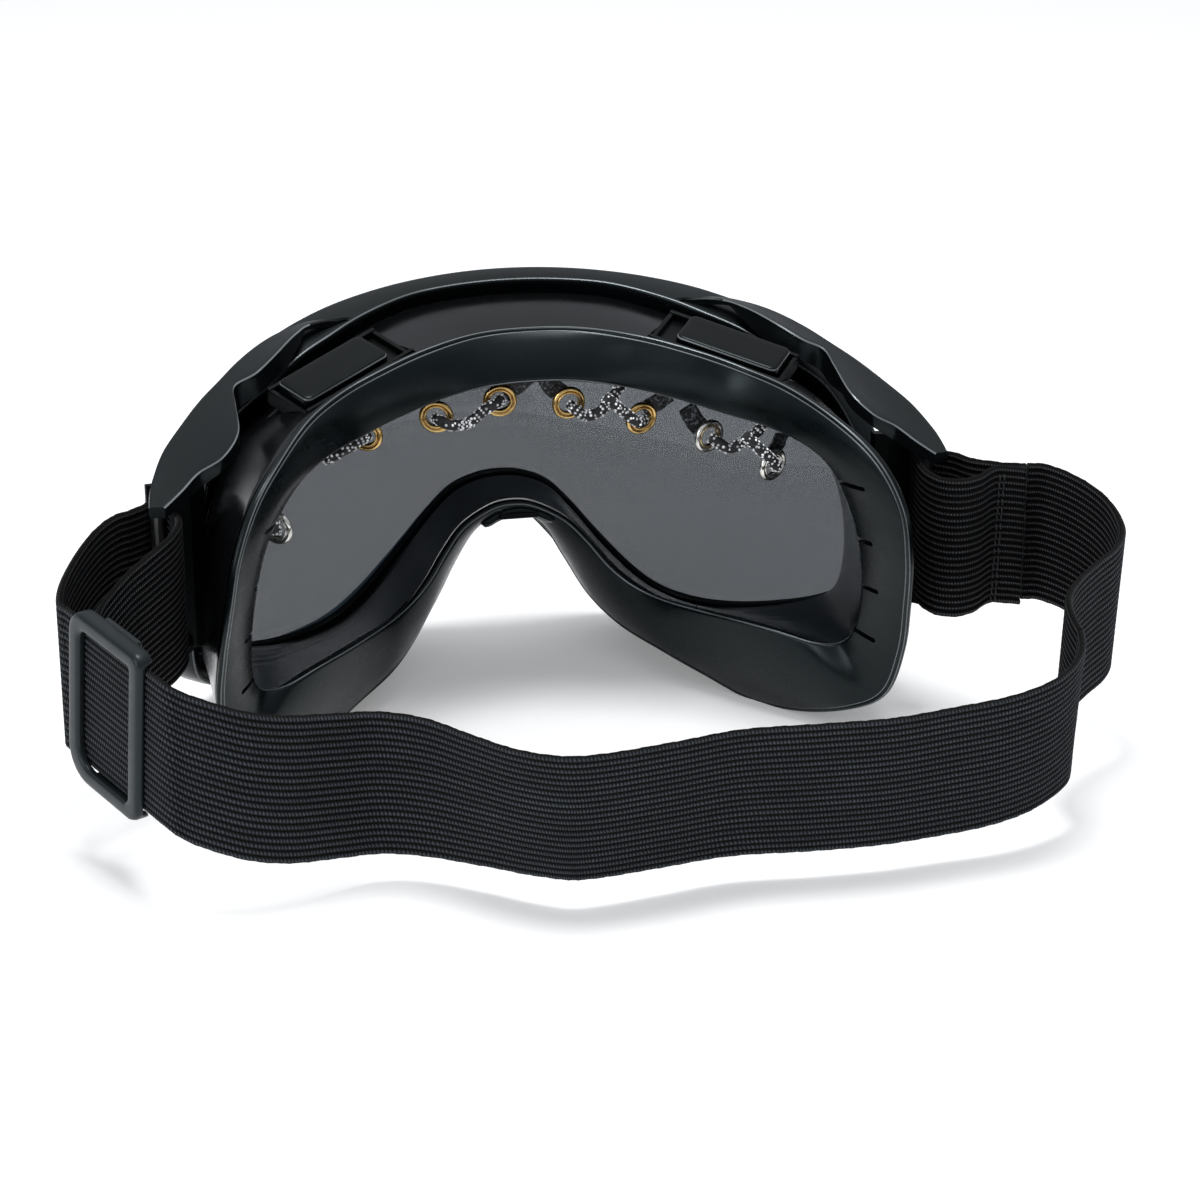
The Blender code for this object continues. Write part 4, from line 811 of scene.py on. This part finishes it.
# ------------------------------------------------------------------ brow vents
vent_a = unit([19.65, -12.95, -5.5])
vent_b0 = np.array([3.05, 9.05, 3.1])
vent_b = unit(vent_b0 - vent_a * np.dot(vent_b0, vent_a))
vent_c = np.cross(vent_a, vent_b)
vent_at = np.array([44.5, 25.1, 60.75])
wells = []
for side, flip in (("right", 1), ("left", -1)):
    s = np.array([flip, 1, 1.0])
    a, b, c, at = vent_a * s, vent_b * s, vent_c * s, vent_at * s
    inside = VENT_LONG + 0.4 + VENT_TRAVEL + 0.5
    shift = (0.4 - VENT_TRAVEL - 0.5) / 2
    deep = VENT_SHORT + 0.8
    u1 = inside / 2 + 1.1
    v0, v2 = -deep / 2 - 0.1, deep / 2 + 1.1
    plate_v = v0 - 0.8
    wells.append(hidden_box(f"well_{side}", at + a * shift + b * ((plate_v - 0.45 + v2) / 2) - c * 3, a, b, c,
                            (2 * u1 + 0.8, v2 - plate_v + 0.45 + 0.8, 12)))
    # cap: outline with round corners, sides drawn in a little towards the top, a soft crown
    l, w, rad = VENT_LONG / 2, VENT_SHORT / 2, 1.5
    outline_pts = []
    for cx, cy, a0 in ((l, w, 0), (-l, w, 90), (-l, -w, 180), (l, -w, 270)):
        for k in range(7):
            ang = math.radians(a0 + 15 * k)
            outline_pts.append((cx - math.copysign(rad, cx) + rad * math.cos(ang), cy - math.copysign(rad, cy) + rad * math.sin(ang)))
    outline_pts = np.array(outline_pts)
    levels = [(0.0, -VENT_RISE), (0.0, -0.95), (0.06, -0.6), (0.22, -0.3), (0.5, -0.1), (0.9, -0.02), (2.2, 0.0)]
    verts, m = [], len(outline_pts)
    for pull, h in levels:
        k = np.array([(l - pull) / l, (w - pull) / w])
        for u, v in outline_pts * k:
            verts.append(at + a * u + b * v + c * h)
    faces = [tuple(range(m)), tuple(range((len(levels) - 1) * m, len(levels) * m))]
    for i in range(len(levels) - 1):
        faces += [(i * m + k, i * m + (k + 1) % m, (i + 1) * m + (k + 1) % m, (i + 1) * m + k) for k in range(m)]
    cap = piece(f"vent_cap_{side}_skin", verts, faces, CAP_PLASTIC, body=f"vent_cap_{side}_body", sharp=50, stands_for=[f"vent_cap_{side}"])
    # painted highlight: the ring round the cap's upper edge gets the light grey edge material
    cap.data.materials.append(PAINTED_EDGE_HIGHLIGHT)
    index = np.zeros(len(faces), np.int32)
    index[2 + 2 * m : 2 + 3 * m] = 1
    cap.data.polygons.foreach_set("material_index", index)
    # tray: floor and low walls, well below the cap's crown
    base_at = at + a * shift
    mid_v = (v0 + v2) / 2
    for label, cu, cv, su, sv, top in (
        ("floor", 0.0, mid_v, 2 * u1 - 0.02, v2 - v0 - 0.02, -VENT_RISE - 0.35), ("front", 0.0, v2 - 0.55, 2 * u1, 1.1, -2.0),
        ("inner", -u1 + 0.55, mid_v, 1.1, v2 - v0, -2.3), ("outer", u1 - 0.55, mid_v, 1.1, v2 - v0, -2.3),
    ):
        verts, box_faces = box_mesh(base_at + a * cu + b * cv + c * ((top - 6.2) / 2), a, b, c, (su, sv, top + 6.2))
        bevel(piece(f"vent_tray_{side}_{label}", verts, box_faces, BLACK_PLASTIC, stands_for=[f"vent_tray_{side}"] if label == "floor" else (), flat=True), 0.25, 3)
    # rear grille: a dark plate with eleven small rims marking perforations, the rims coloured light grey as painted
    # glints
    verts, box_faces = box_mesh(base_at + b * plate_v + c * -3.55, a, b, c, (2 * u1, 0.9, 5.1))
    bevel(piece(f"vent_grille_{side}_plate", verts, box_faces, BLACK_PLASTIC, stands_for=[f"vent_grille_{side}"], flat=True), 0.2, 3)
    verts, dots = [], []
    for k in range(11):
        spot = base_at + a * ((k - 5) * 2.0 + (inside / 2 - VENT_LONG / 2) * 0.4) + b * (plate_v - 0.46) + c * -1.85
        for r_out, r_in in ((0.42, 0.16),):
            start = len(verts)
            for w in np.linspace(0, 2 * math.pi, 13)[:-1]:
                way = a * math.cos(w) + c * math.sin(w)
                verts += [spot + way * r_out, spot + way * (r_out + r_in) / 2 - b * 0.09, spot + way * r_in]
            for q in range(12):
                h = (q + 1) % 12
                for g in range(2):
                    dots.append((start + q * 3 + g, start + q * 3 + g + 1, start + h * 3 + g + 1, start + h * 3 + g))
    # the rims carry the painted glint colour
    piece(f"vent_grille_{side}_rims", verts, dots, PAINTED_RIM_GLINT)
carve(shell, wells)
shell.data.shade_smooth()
shell.data.set_sharp_from_angle(angle=math.radians(40))

for node, mat in (
    ("vent_foam_right", FELT), ("vent_foam_left", FELT), ("strap_pin_right", STEEL), ("strap_pin_left", STEEL),
):
    obj = NODES[node]
    obj.data.materials.clear()
    obj.data.materials.append(mat)

# ------------------------------------------------------------------ nose pad and its insert
pad_path = open_curve([(-8.8, 47.6, 13.9), (-4.6, 48.8, 15.7), (0, 49.4, 16.4), (4.6, 48.8, 15.7), (8.8, 47.6, 13.9)], 41)
fore = unit([0, 1.0, -0.32])
secs = []
for k, p_at in enumerate(pad_path):
    down = unit([-p_at[0] * 0.12, -0.35, -0.93])
    u = abs(k - 20) / 20
    swell_pad = 1.0 - 0.35 * max(0.0, (u - 0.82) / 0.18) ** 2
    joint = 0.16 if min(abs(u - 0.42), 1) < 0.03 else 0.0  # two shallow creases part the pad in three
    ring = []
    for w in np.linspace(0, 2 * math.pi, 17)[:-1]:
        cw, sw = math.cos(w), math.sin(w)
        cw = math.copysign(abs(cw) ** 0.6, cw)
        sw = math.copysign(abs(sw) ** 0.6, sw)
        ring.append(p_at + fore * (1.5 + cw * 1.7 * swell_pad) + down * (0.7 + sw * (1.15 - joint) * swell_pad))
    secs.append(ring)
# strip 6 gets the painted edge highlight
loft("nose_pad_skin", secs, SEAL, closed=False, sharp=60, edges=(6,), stands_for=["nose_pad"])
verts, faces = box_mesh((0, 47.8, 15.2), (1, 0, 0), fore, np.cross((1, 0, 0), fore), (9.0, 1.6, 1.4))
bevel(piece("nose_insert_skin", verts, faces, CAP_PLASTIC, stands_for=["nose_insert"], flat=True), 0.4, 4)

# ------------------------------------------------------------------ eyelets, laces and ribbons
EYELETS = [
    ("eyelet_1", (-60.2, 4.6, 32.4), NICKEL), ("eyelet_2", (-38.2, 22.8, 45.6), BRASS), ("eyelet_3", (-21.5, 30.3, 46.2), BRASS),
    ("eyelet_4", (-6.6, 33.8, 47.8), BRASS), ("eyelet_5", (8.9, 33.6, 46.3), BRASS), ("eyelet_6", (24.5, 29.1, 43.1), BRASS),
    ("eyelet_7", (38.4, 22.2, 40.2), NICKEL), ("eyelet_8", (50.3, 11.8, 36.2), NICKEL),
]


def trim_facing(x):
    return unit([math.sin(math.radians(x * 0.62)), -math.cos(math.radians(x * 0.62)), -0.12])


RING = [(r * 1.13, h * 1.1) for r, h in [(3.2, -0.5), (3.38, -0.3), (3.42, 0.0), (3.34, 0.32), (3.1, 0.6), (2.86, 0.64), (2.66, 0.5), (2.56, 0.3), (2.5, 0.26)]]
BARREL = [(r * 1.13, h * 1.1) for r, h in [(2.46, 0.22), (2.42, 0.38), (2.3, 0.5), (2.14, 0.5), (2.02, 0.36), (1.96, 0.1), (1.95, -0.5), (2.44, -0.5)]]
for index, (name, at, _) in enumerate(EYELETS):
    n = trim_facing(at[0])
    p = unit(np.cross([0, 0, 1.0], n))
    q = np.cross(n, p)
    sides = 56
    outer_mat = NICKEL if name in ("eyelet_1", "eyelet_7", "eyelet_8") else BRASS
    inner_mat = INNER_RING if name == "eyelet_7" else (NICKEL if outer_mat is NICKEL else BRASS)
    for part_name, prof, mat in (("ring", RING, outer_mat), ("barrel", BARREL, inner_mat)):
        secs = []
        for k in range(sides):
            ang = 2 * math.pi * k / sides
            way = math.cos(ang) * p + math.sin(ang) * q
            secs.append([np.array(at) + way * r + n * h for r, h in prof])
        loft(f"{name}_{part_name}", secs, mat, sharp=70, stands_for=[name] if part_name == "ring" else ())


def frames_along(path):
    """Tangent and two perpendiculars along a path, carried without twist."""
    t = tangents(path, closed=False)
    p = unit(np.cross(t[0], [0.3, 0.2, 0.93]))
    ps = []
    for k in range(len(path)):
        p = unit(p - t[k] * np.dot(p, t[k]))
        ps.append(p)
    ps = np.array(ps)
    return t, ps, np.cross(t, ps)


def lace(name, points):
    length = float(np.sum(np.linalg.norm(np.diff(np.array(points, float), axis=0), axis=1)))
    path = open_curve(points, max(8, int(length / 0.45)))
    t, p, q = frames_along(path)
    sides, radius = 16, 1.18
    secs = []
    for k in range(len(path)):
        ring = []
        for m in range(sides):
            ang = 2 * math.pi * m / sides
            r = radius * (1 + 0.05 * math.sin(2 * ang + k * 0.9) + 0.05 * math.sin(-2 * ang + k * 0.9))
            ring.append(path[k] + (p[k] * math.cos(ang) + q[k] * math.sin(ang)) * r)
        secs.append(ring)
    loft(f"{name}_braid", secs, LACE, closed=False, sharp=60, stands_for=[name])
    rng = random.Random(name)
    verts, faces = [], []
    along = np.linspace(0, len(path) - 1, max(6, int(length / 0.74)))
    for row, u in enumerate(along):
        i = min(int(round(u)), len(path) - 1)
        for m in range(9):
            if rng.random() < 0.4:
                continue
            ang = 2 * math.pi * (m + 0.5 * (row % 2)) / 9 + rng.uniform(-0.08, 0.08)
            out = p[i] * math.cos(ang) + q[i] * math.sin(ang)
            tilt = unit(out + t[i] * rng.uniform(-0.2, 0.2))
            e1 = unit(np.cross(tilt, t[i] + out * 0.01))
            e2 = np.cross(tilt, e1)
            size = rng.uniform(0.26, 0.4)
            at = path[i] + out * (radius - 0.02)
            base = len(verts)
            for k in range(6):  # girdle, then table
                w = math.radians(60 * k)
                verts.append(at + (e1 * math.cos(w) + e2 * math.sin(w)) * size)
            for k in range(6):
                w = math.radians(60 * k + 30)
                verts.append(at + (e1 * math.cos(w) + e2 * math.sin(w)) * size * 0.55 + tilt * size * 0.62)
            for k in range(6):
                j = (k + 1) % 6
                faces += [(base + k, base + j, base + 6 + k), (base + j, base + 6 + j, base + 6 + k)]
            faces += [tuple(base + 6 + k for k in range(6)), tuple(base + k for k in range(6))]
    piece(f"{name}_stones", verts, faces, STONE, flat=True)


def hole(index, back=2.9):
    at = np.array(EYELETS[index][1])
    return at + trim_facing(at[0]) * back


def near(index, dx, dz, back=2.2):
    at = hole(index, back)
    return at + np.array([dx, 0, dz])


lace("lace_1", [near(0, 0.2, -0.6, 0.6), near(0, 0.6, 1.0), near(0, 0.8, 3.0, 2.6), near(0, 1.6, 5.6, 3.4)])
lace("lace_2", [near(1, 0.6, 0.2, 0.4), near(1, -0.8, -0.4, 1.9), near(1, -2.8, -1.4, 2.5), near(1, -5.6, -2.8, 2.6), near(1, -8.6, -4.6, 1.0)])
lace("lace_3", [near(2, -0.2, 0.1, 0.4), near(2, 1.2, -0.3, 1.9), near(2, 3.6, -1.2, 2.4), (-14.0, 30.8, 44.2), near(3, -3.6, -0.8, 2.4), near(3, -1.2, 0.1, 1.9), near(3, 0.2, 0.4, 0.4)])
lace("lace_4", [near(4, 0.2, -0.2, 0.4), near(4, 1.2, -1.0, 1.9), near(4, 3.2, -2.2, 2.4), near(4, 6.2, -1.4, 2.6), near(4, 8.8, 1.2, 2.6), near(4, 11.6, 3.8, 1.2)])
lace("lace_5", [near(5, 0.2, -0.2, 0.4), near(5, -1.0, 0.1, 2.1), near(5, -2.8, 0.9, 3.4), near(5, -5.6, 3.2, 4.3), near(5, -8.2, 5.6, 5.6), near(5, -10.8, 7.8, 5.8)])
lace("lace_7", [near(7, 0.2, -0.2, 0.4), near(7, -0.8, 0.6, 2.4), near(7, -2.6, 1.8, 4.6), near(7, -5.6, 4.4, 6.0), near(7, -8.8, 7.4, 6.6), near(7, -11.2, 9.8, 6.4)])
lace("lace_6", [near(6, 0.2, -0.2, 0.4), near(6, 1.4, -1.2, 1.9), near(6, 3.2, -2.2, 2.4), near(6, 5.6, -1.0, 2.7), near(6, 8.4, 1.2, 3.4), near(6, 11.0, 3.4, 2.6)])


def ribbon(name, points):
    path = open_curve(points, 14)
    run = tangents(path, closed=False)
    secs = []
    for k, (pt, t) in enumerate(zip(path, run)):
        n = unit(trim_facing(pt[0]))
        side_way = unit(np.cross(t, n))
        half, th = 2.15, 0.55
        wave = n * 0.12 * math.sin(k * 1.1)
        ring = [pt + side_way * half * x + n * (th if top else 0.0) + wave for x, top in
                ((-1, 0), (-0.5, 0), (0, 0), (0.5, 0), (1, 0), (1.03, 0.5), (1, 1), (0.5, 1), (0, 1), (-0.5, 1), (-1, 1), (-1.03, 0.5))]
        secs.append(ring)
    loft(f"{name}_cloth", secs, GLITTER, closed=False, sharp=60, stands_for=[name])


def ahead(index, dx, dz, fore=1.8):
    at = np.array(EYELETS[index][1])
    return at - trim_facing(at[0]) * fore + np.array([dx, 0, dz])


ribbon("ribbon_1", [ahead(3, 1.0, 0.8), ahead(3, 4.0, 2.8), ahead(3, 6.7, 5.0)])
ribbon("ribbon_2", [ahead(4, -1.0, 1.4), ahead(4, -3.4, 3.6), ahead(4, -4.7, 6.0)])
ribbon("ribbon_3", [ahead(5, 1.2, 1.0), ahead(5, 4.4, 2.8), ahead(5, 7.0, 4.6)])
ribbon("ribbon_4", [ahead(6, -1.2, 1.4), ahead(6, -3.0, 4.0), ahead(6, -4.2, 6.6)])
ribbon("ribbon_5", [ahead(7, 0.8, 1.4), ahead(7, 2.2, 4.0), ahead(7, 3.2, 6.4)])

# ------------------------------------------------------------------ head strap
LOOP_R = PIN_R + GAP + STRAP_THICK / 2 + 0.05


def round_pin(side):
    return [
        (side * (PIN_X + LOOP_R * math.cos(math.radians(10 + 26.7 * k))), PIN_Y + LOOP_R * math.sin(math.radians(10 + 26.7 * k)), 37.7, 0.0)
        for k in range(7)
    ]


# right: tail inside, bulging from the pin and sewn to the outer layer, then the outer layer to the side
tail = [(103.2, -4.6, 37.0, 0.0), (99.5, -4.9, 37.8, 0.0), (95.6, -5.2, 38.2, 0.0), (91.0, -8.6, 37.7, 0.0), (86.6, -10.3, 37.7, 0.0),
        (82.8, -8.4, 37.7, 0.0), (81.1, -3.0, 37.7, 0.0), (81.4, 4.0, 37.7, 0.0)]
outer_right = [(90.6, 7.0, 37.7, 0.0), (93.1, 2.4, 37.7, 0.0), (95.8, -1.4, 38.2, 0.0), (99.3, -2.3, 37.8, 0.0), (104.0, -1.9, 37.2, 0.0)]
loop_rows = tail + round_pin(1)[::-1] + outer_right
side_right = [(104.5, -1.9, 37.2, 0.0), (108.2, -1.6, 36.7, 0.0), (112.0, -4.0, 35.8, 0.0), (116.1, -7.4, 34, 0.2), (119.2, -11.6, 31.8, 0.6),
              (120.4, -16.2, 29.6, 1.0), (119.6, -22.0, 27.6, 1.4), (116.2, -27.2, 26.2, 1.6), (110.4, -32.0, 25, 1.6), (104.4, -37.4, 23.7, 1.4),
              (100.2, -42.8, 22.2, 1.2), (99.0, -48.2, 20.4, 1.0), (99.2, -53.4, 18.6, 1.1)]
# the adjuster buckle's own frame: along the strap, up, and outwards
BUCKLE_D = unit([13.0, -25.5, -3.4])
BUCKLE_U = unit(np.array([0, 0, 1.0]) - BUCKLE_D * BUCKLE_D[2])
BUCKLE_N = unit(np.cross(BUCKLE_D, BUCKLE_U))
BUCKLE_N = BUCKLE_N * -np.sign(BUCKLE_N[0])
BUCKLE_AT = np.array([-99.0, -38.0, 11.0])


def in_buckle(t, up, n):
    return BUCKLE_AT + BUCKLE_D * t + BUCKLE_U * up + BUCKLE_N * n


def top_in_buckle(t, n):
    """A top-edge row of a strap that runs through the buckle at depth n."""
    return (*in_buckle(t, STRAP_WIDTH / 2 - 0.1, n), 0.0)


CHANNEL_N = -0.5  # depth of the strap's middle in the buckle
rear_rows = [(99.0, -54.0, 18.4, 1.1), (97.6, -58.8, 17.2, 2.4), (93.6, -64.2, 15.6, 4.4), (87.4, -68.6, 14.3, 5.6), (78.0, -71.6, 13.2, 6.2),
             (66.0, -72.9, 12.4, 6.4), (53.0, -74.6, 12.0, 7.0), (38.0, -74.4, 12, 7.0), (22.0, -73.8, 12, 7.4), (8.0, -76.8, 12, 8.0),
             (-6.0, -79.4, 12, 8.4), (-15.0, -79.0, 12, 8.6), (-23.5, -73.8, 12, 8.2), (-31.0, -65.4, 12.2, 6.2), (-38.5, -56.8, 12.6, 3.0),
             (-47.0, -53.0, 13.2, 1.6), (-56.0, -54.8, 14.4, 0.8), (-66.0, -58.4, 16.4, 0.0), (-74.0, -60.0, 18.6, -0.3), (-81.0, -59.2, 21.0, -0.4),
             (-86.6, -57.0, 22.9, -0.2), top_in_buckle(18, CHANNEL_N), top_in_buckle(6, CHANNEL_N), top_in_buckle(-6, CHANNEL_N),
             top_in_buckle(-18, CHANNEL_N)]
outer_left = [top_in_buckle(-18.4, CHANNEL_N), top_in_buckle(-21, CHANNEL_N), (-106.2, -15.6, 31.4, 0.0), (-102.8, -8.4, 34.4, 0.0),
              (-98.6, -1.8, 36.9, 0.0), (-94.4, 3.2, 38.0, 0.0), (-90.6, 7.0, 37.7, 0.0)]
inner_left = [(-81.3, 4.0, 37.7, 0.0), (-81.2, -3.0, 38.2, 0.0), (-83.6, -9.6, 37.6, 0.0), (-88.6, -15.6, 36.0, 0.0), (-94.2, -20.6, 33.4, 0.0),
              top_in_buckle(-13, -4.5), top_in_buckle(-6, -4.4), top_in_buckle(0.5, -4.4)]
RIBS = 22


def web(name, rows, mats, body=None, stands_for=(), phase=0.0, u0=0.0, step=0.9, turned=(2.0, 2.0)):
    """Ribbed elastic webbing on edge along rows of x, y, z of its top edge and the inward swing of its bottom edge."""
    rough_len = float(np.sum(np.linalg.norm(np.diff(np.array(rows)[:, :3], axis=0), axis=1)))
    count = max(6, int(rough_len / (step * 1)))
    path = open_curve(rows, count)
    top, swing = path[:, :3], path[:, 3:4]
    run = tangents(top, closed=False)
    run[:, 2] = 0
    run = unit(run)
    out = np.stack([run[:, 1], -run[:, 0], 0 * run[:, 0]], 1)
    bottom = top + out * swing
    bottom[:, 2] = top[:, 2] - np.sqrt(STRAP_WIDTH**2 - swing[:, 0] ** 2)
    length = np.concatenate([[0], np.cumsum(np.linalg.norm(np.diff(top, axis=0), axis=1))])
    per = 5
    samples = RIBS * per + 1
    v = np.linspace(0, 1, samples)
    rib = np.abs(np.sin(np.pi * v * RIBS)) ** 0.9
    edge = np.minimum(1, np.minimum(v, 1 - v) * 60)
    verts, uvs = [], []
    for k in range(count):
        s = length[k] + u0
        drift = 0.1 * np.sin(s * 0.21 + v * 7 + phase) + 0.07 * np.sin(s * 0.093 + v * 19 + phase)
        core = 0.3 + 0.46 * rib * edge + 0.03 * drift
        core = core * (0.75 + 0.25 * edge)
        wander = 0.05 * math.sin(s * 1.3) + 0.04 * math.sin(s * 2.9 + 1)
        line = top[k] + (bottom[k] - top[k]) * v[:, None] + np.array([0, 0, wander]) * (1 - edge[:, None])
        one = line + out[k] * core[:, None]
        two = (line - out[k] * core[:, None])[::-1]
        verts.append(np.vstack([one, two]))
        uvs.append(np.column_stack([np.full(2 * samples, s), np.concatenate([v, v[::-1]]) * RIBS]))
    verts = np.array(verts)
    points = verts.shape[1]
    obj = loft(name, verts, mats[0], closed=False, sharp=180, uv=np.vstack(uvs), body=body, stands_for=stands_for)
    obj.data.materials.append(mats[1])
    # the side towards the head is the second material
    index = np.zeros(len(obj.data.polygons), np.int32)
    for f in range((count - 1) * points):
        swapped = turned[0] <= (f // points) / count <= turned[1]
        index[f] = int((f % points < samples - 1) != swapped)
    obj.data.polygons.foreach_set("material_index", index)
    return obj


def lapped(rows, by=0.8):
    """Rows carried on by a little at both ends, so that no light shows where two lengths of strap meet."""
    rows = [list(r) for r in rows]
    ends = []
    for here, beside in ((rows[0], rows[1]), (rows[-1], rows[-2])):
        step = np.array(here[:3], float) - np.array(beside[:3], float)
        step *= by / np.linalg.norm(step)
        ends.append([*(np.array(here[:3], float) + step), here[3]])
    return [ends[0]] + rows + [ends[1]]


web("strap_loop_right_web", loop_rows, (STRAP_OUT, STRAP_IN), "goggles", ["strap_loop_right"], 0.3, turned=(-1.0, 0.56))
side_web = web("strap_side_right_web", side_right, (STRAP_OUT, STRAP_IN), None, (), 0.9, 60)
web("strap_rear_web", lapped(rear_rows), (STRAP_OUT, STRAP_IN), "strap_back", ["strap_rear"], 1.7, 130)
left_rows = outer_left + round_pin(-1) + inner_left
left_web = web("strap_loop_left_web", left_rows, (STRAP_OUT, STRAP_IN), None, (), 2.4, 320, turned=(0.46, 2.0))
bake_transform(side_web)
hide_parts("strap_side_right")
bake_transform(left_web)
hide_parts("strap_loop_left")

# two rows of stitching where the right tail is sewn to the strap
verts, faces = [], []
for x0, y0, lean in ((96.4, -5.05, 0.0), (97.4, -5.0, 0.0)):
    for k in range(16):
        z = 36.4 - k * 1.9
        at = np.array([x0 + 0.4 - 0.05 * k, y0 - 0.86, z])
        secs = []
        for j in range(5):
            t = j / 4
            mid = at + np.array([0.12 * (t - 0.5), -0.16 * math.sin(math.pi * t), -1.35 * t])
            secs.append([mid + np.array([math.cos(w), math.sin(w), 0]) * 0.17 for w in np.linspace(0, 2 * math.pi, 7)[:-1]])
        secs = np.array(secs)
        faces += ring_faces(5, 6, False, len(verts))
        verts += list(secs.reshape(-1, 3))
piece("tail_stitching", verts, faces, THREAD)

# ------------------------------------------------------------------ adjuster buckle
half_l, half_h = BUCKLE_LONG / 2, BUCKLE_HIGH / 2
SIDE_BAR, END_BAR = 4.0, 3.6
corner_data = [(half_l, half_h, 3.0), (half_l, -half_h, 4.0), (-half_l, -half_h, 7.5), (-half_l, half_h, 5.0)]
turns = [(90, 0), (0, -90), (270, 180), (180, 90)]
outer_pts, inner_pts = [], []
for (cx, cy, radius), (a0, a1) in zip(corner_data, turns):
    for k in range(13):
        ang = math.radians(a0 + (a1 - a0) * k / 12)
        way = np.array([math.cos(ang), math.sin(ang)])
        sx, sy = math.copysign(1, cx), math.copysign(1, cy)
        outer_pts.append(np.array([cx - sx * radius, cy - sy * radius]) + way * radius)
        small = max(radius - 2.4, 0.8)
        inner_pts.append(np.array([cx - sx * (SIDE_BAR + small), cy - sy * (END_BAR + small)]) + way * small)
secs = []
for o, i in zip(outer_pts, inner_pts):
    w = (i - o) / np.linalg.norm(i - o)
    deep = min(1.0, max(0.0, (abs(o[1]) - 16.7) / 0.9))
    ring = [(o, 0.0, 0.6 - 1.8 * deep), (o, -0.02, 0.85), (o, 0.06, 1.2), (o, 0.3, 1.75), (o, 0.75, 2.05), (o, 1.4, 2.15)]
    ring += [(i, -1.1, 2.15), (i, -0.55, 2.05), (i, -0.2, 1.8), (i, -0.03, 1.4), (i, 0.0, 0.6), (i, -0.1, 0.55)]
    ring += [(o, 1.9, 0.55 - 0.1 * deep), (o, 1.2, 0.55 - 1.75 * deep), (o, 0.7, 0.55 - 2.05 * deep), (o, 0.25, 0.57 - 2.07 * deep)]
    secs.append([in_buckle(*(base + w * d), n) for base, d, n in ring])
buckle = loft("adjuster_buckle_skin", secs, BUCKLE_PLASTIC, body="buckle", sharp=50, stands_for=["adjuster_buckle"])
rail = (half_h - (STRAP_WIDTH / 2 + 0.55)) - 0.25
for name, centre, size in (
    ("top", in_buckle(0.8, half_h - 0.25 - rail / 2, -0.9), (BUCKLE_LONG - 14.4, rail, 4.0)),
    ("bottom", in_buckle(0.8, -(half_h - 0.25 - rail / 2), -0.9), (BUCKLE_LONG - 13.0, rail, 4.4)),
    ("bar", in_buckle(1.0, 0, -2.35), (4.2, BUCKLE_HIGH - 1.4, 1.4)),
):
    verts, faces = box_mesh(centre, BUCKLE_D, BUCKLE_U, BUCKLE_N, size)
    bevel(piece(f"buckle_{name}", verts, faces, BUCKLE_PLASTIC, body="buckle"), 0.45, 4)

# ------------------------------------------------------------------ floor, light
floor_mesh = bpy.data.meshes.new("floor")
floor_mesh.from_pydata([(-8, -8, 0), (8, -8, 0), (8, 8, 0), (-8, 8, 0)], [], [(0, 1, 2, 3)])
floor = bpy.data.objects.new("floor", floor_mesh)
floor.location = (0, 0, -0.0001)
bpy.context.scene.collection.objects.link(floor)
floor_shade = Shade("floor_paper", (0.93, 0.935, 0.94), 0.7)
floor_shade.colour(floor_shade.blend(floor_shade.noise(floor_shade.where(), 3.0, 2.0), (0.835, 0.84, 0.85), (0.85, 0.853, 0.86)))
floor_shade.bsdf.inputs["Emission Color"].default_value = (1.0, 1.0, 1.0, 1.0)
floor_shade.bsdf.inputs["Emission Strength"].default_value = 0.2
floor.data.materials.append(floor_shade.mat)

world = bpy.data.worlds.new("studio")
bpy.context.scene.world = world
world.use_nodes = True
wn, wl = world.node_tree.nodes, world.node_tree.links
background = wn["Background"]
coords = wn.new("ShaderNodeTexCoord")
split = wn.new("ShaderNodeSeparateXYZ")
ramp = wn.new("ShaderNodeValToRGB")
wl.new(coords.outputs["Generated"], split.inputs["Vector"])
lift = wn.new("ShaderNodeMapRange")
lift.inputs["From Min"].default_value = -1.0
wl.new(split.outputs["Z"], lift.inputs["Value"])
wl.new(lift.outputs["Result"], ramp.inputs["Fac"])
ramp.color_ramp.elements[0].position = 0.45
ramp.color_ramp.elements[0].color = (0.3, 0.31, 0.33, 1)
ramp.color_ramp.elements[1].position = 1.0
ramp.color_ramp.elements[1].color = (1.0, 1.0, 1.0, 1)
mid = ramp.color_ramp.elements.new(0.72)
mid.color = (0.42, 0.44, 0.47, 1)
wl.new(ramp.outputs["Color"], background.inputs["Color"])
background.inputs["Strength"].default_value = 1.0


def area(name, at, target, size, power, colour=(1, 1, 1)):
    data = bpy.data.lights.new(name, "AREA")
    data.shape = "RECTANGLE"
    data.size, data.size_y = size
    data.energy = power
    data.color = colour
    obj = bpy.data.objects.new(name, data)
    obj.location = at
    obj.rotation_euler = (Vector(target) - Vector(at)).to_track_quat("-Z", "Y").to_euler()
    bpy.context.scene.collection.objects.link(obj)
    return obj


area("overhead", (-0.03, -0.06, 1.2), (0, 0, 0), (0.42, 0.36), 9.0)
area("side_left", (-1.1, -0.7, 0.5), (0, 0, 0.04), (0.5, 0.8), 5.0, (0.97, 0.99, 1.0))
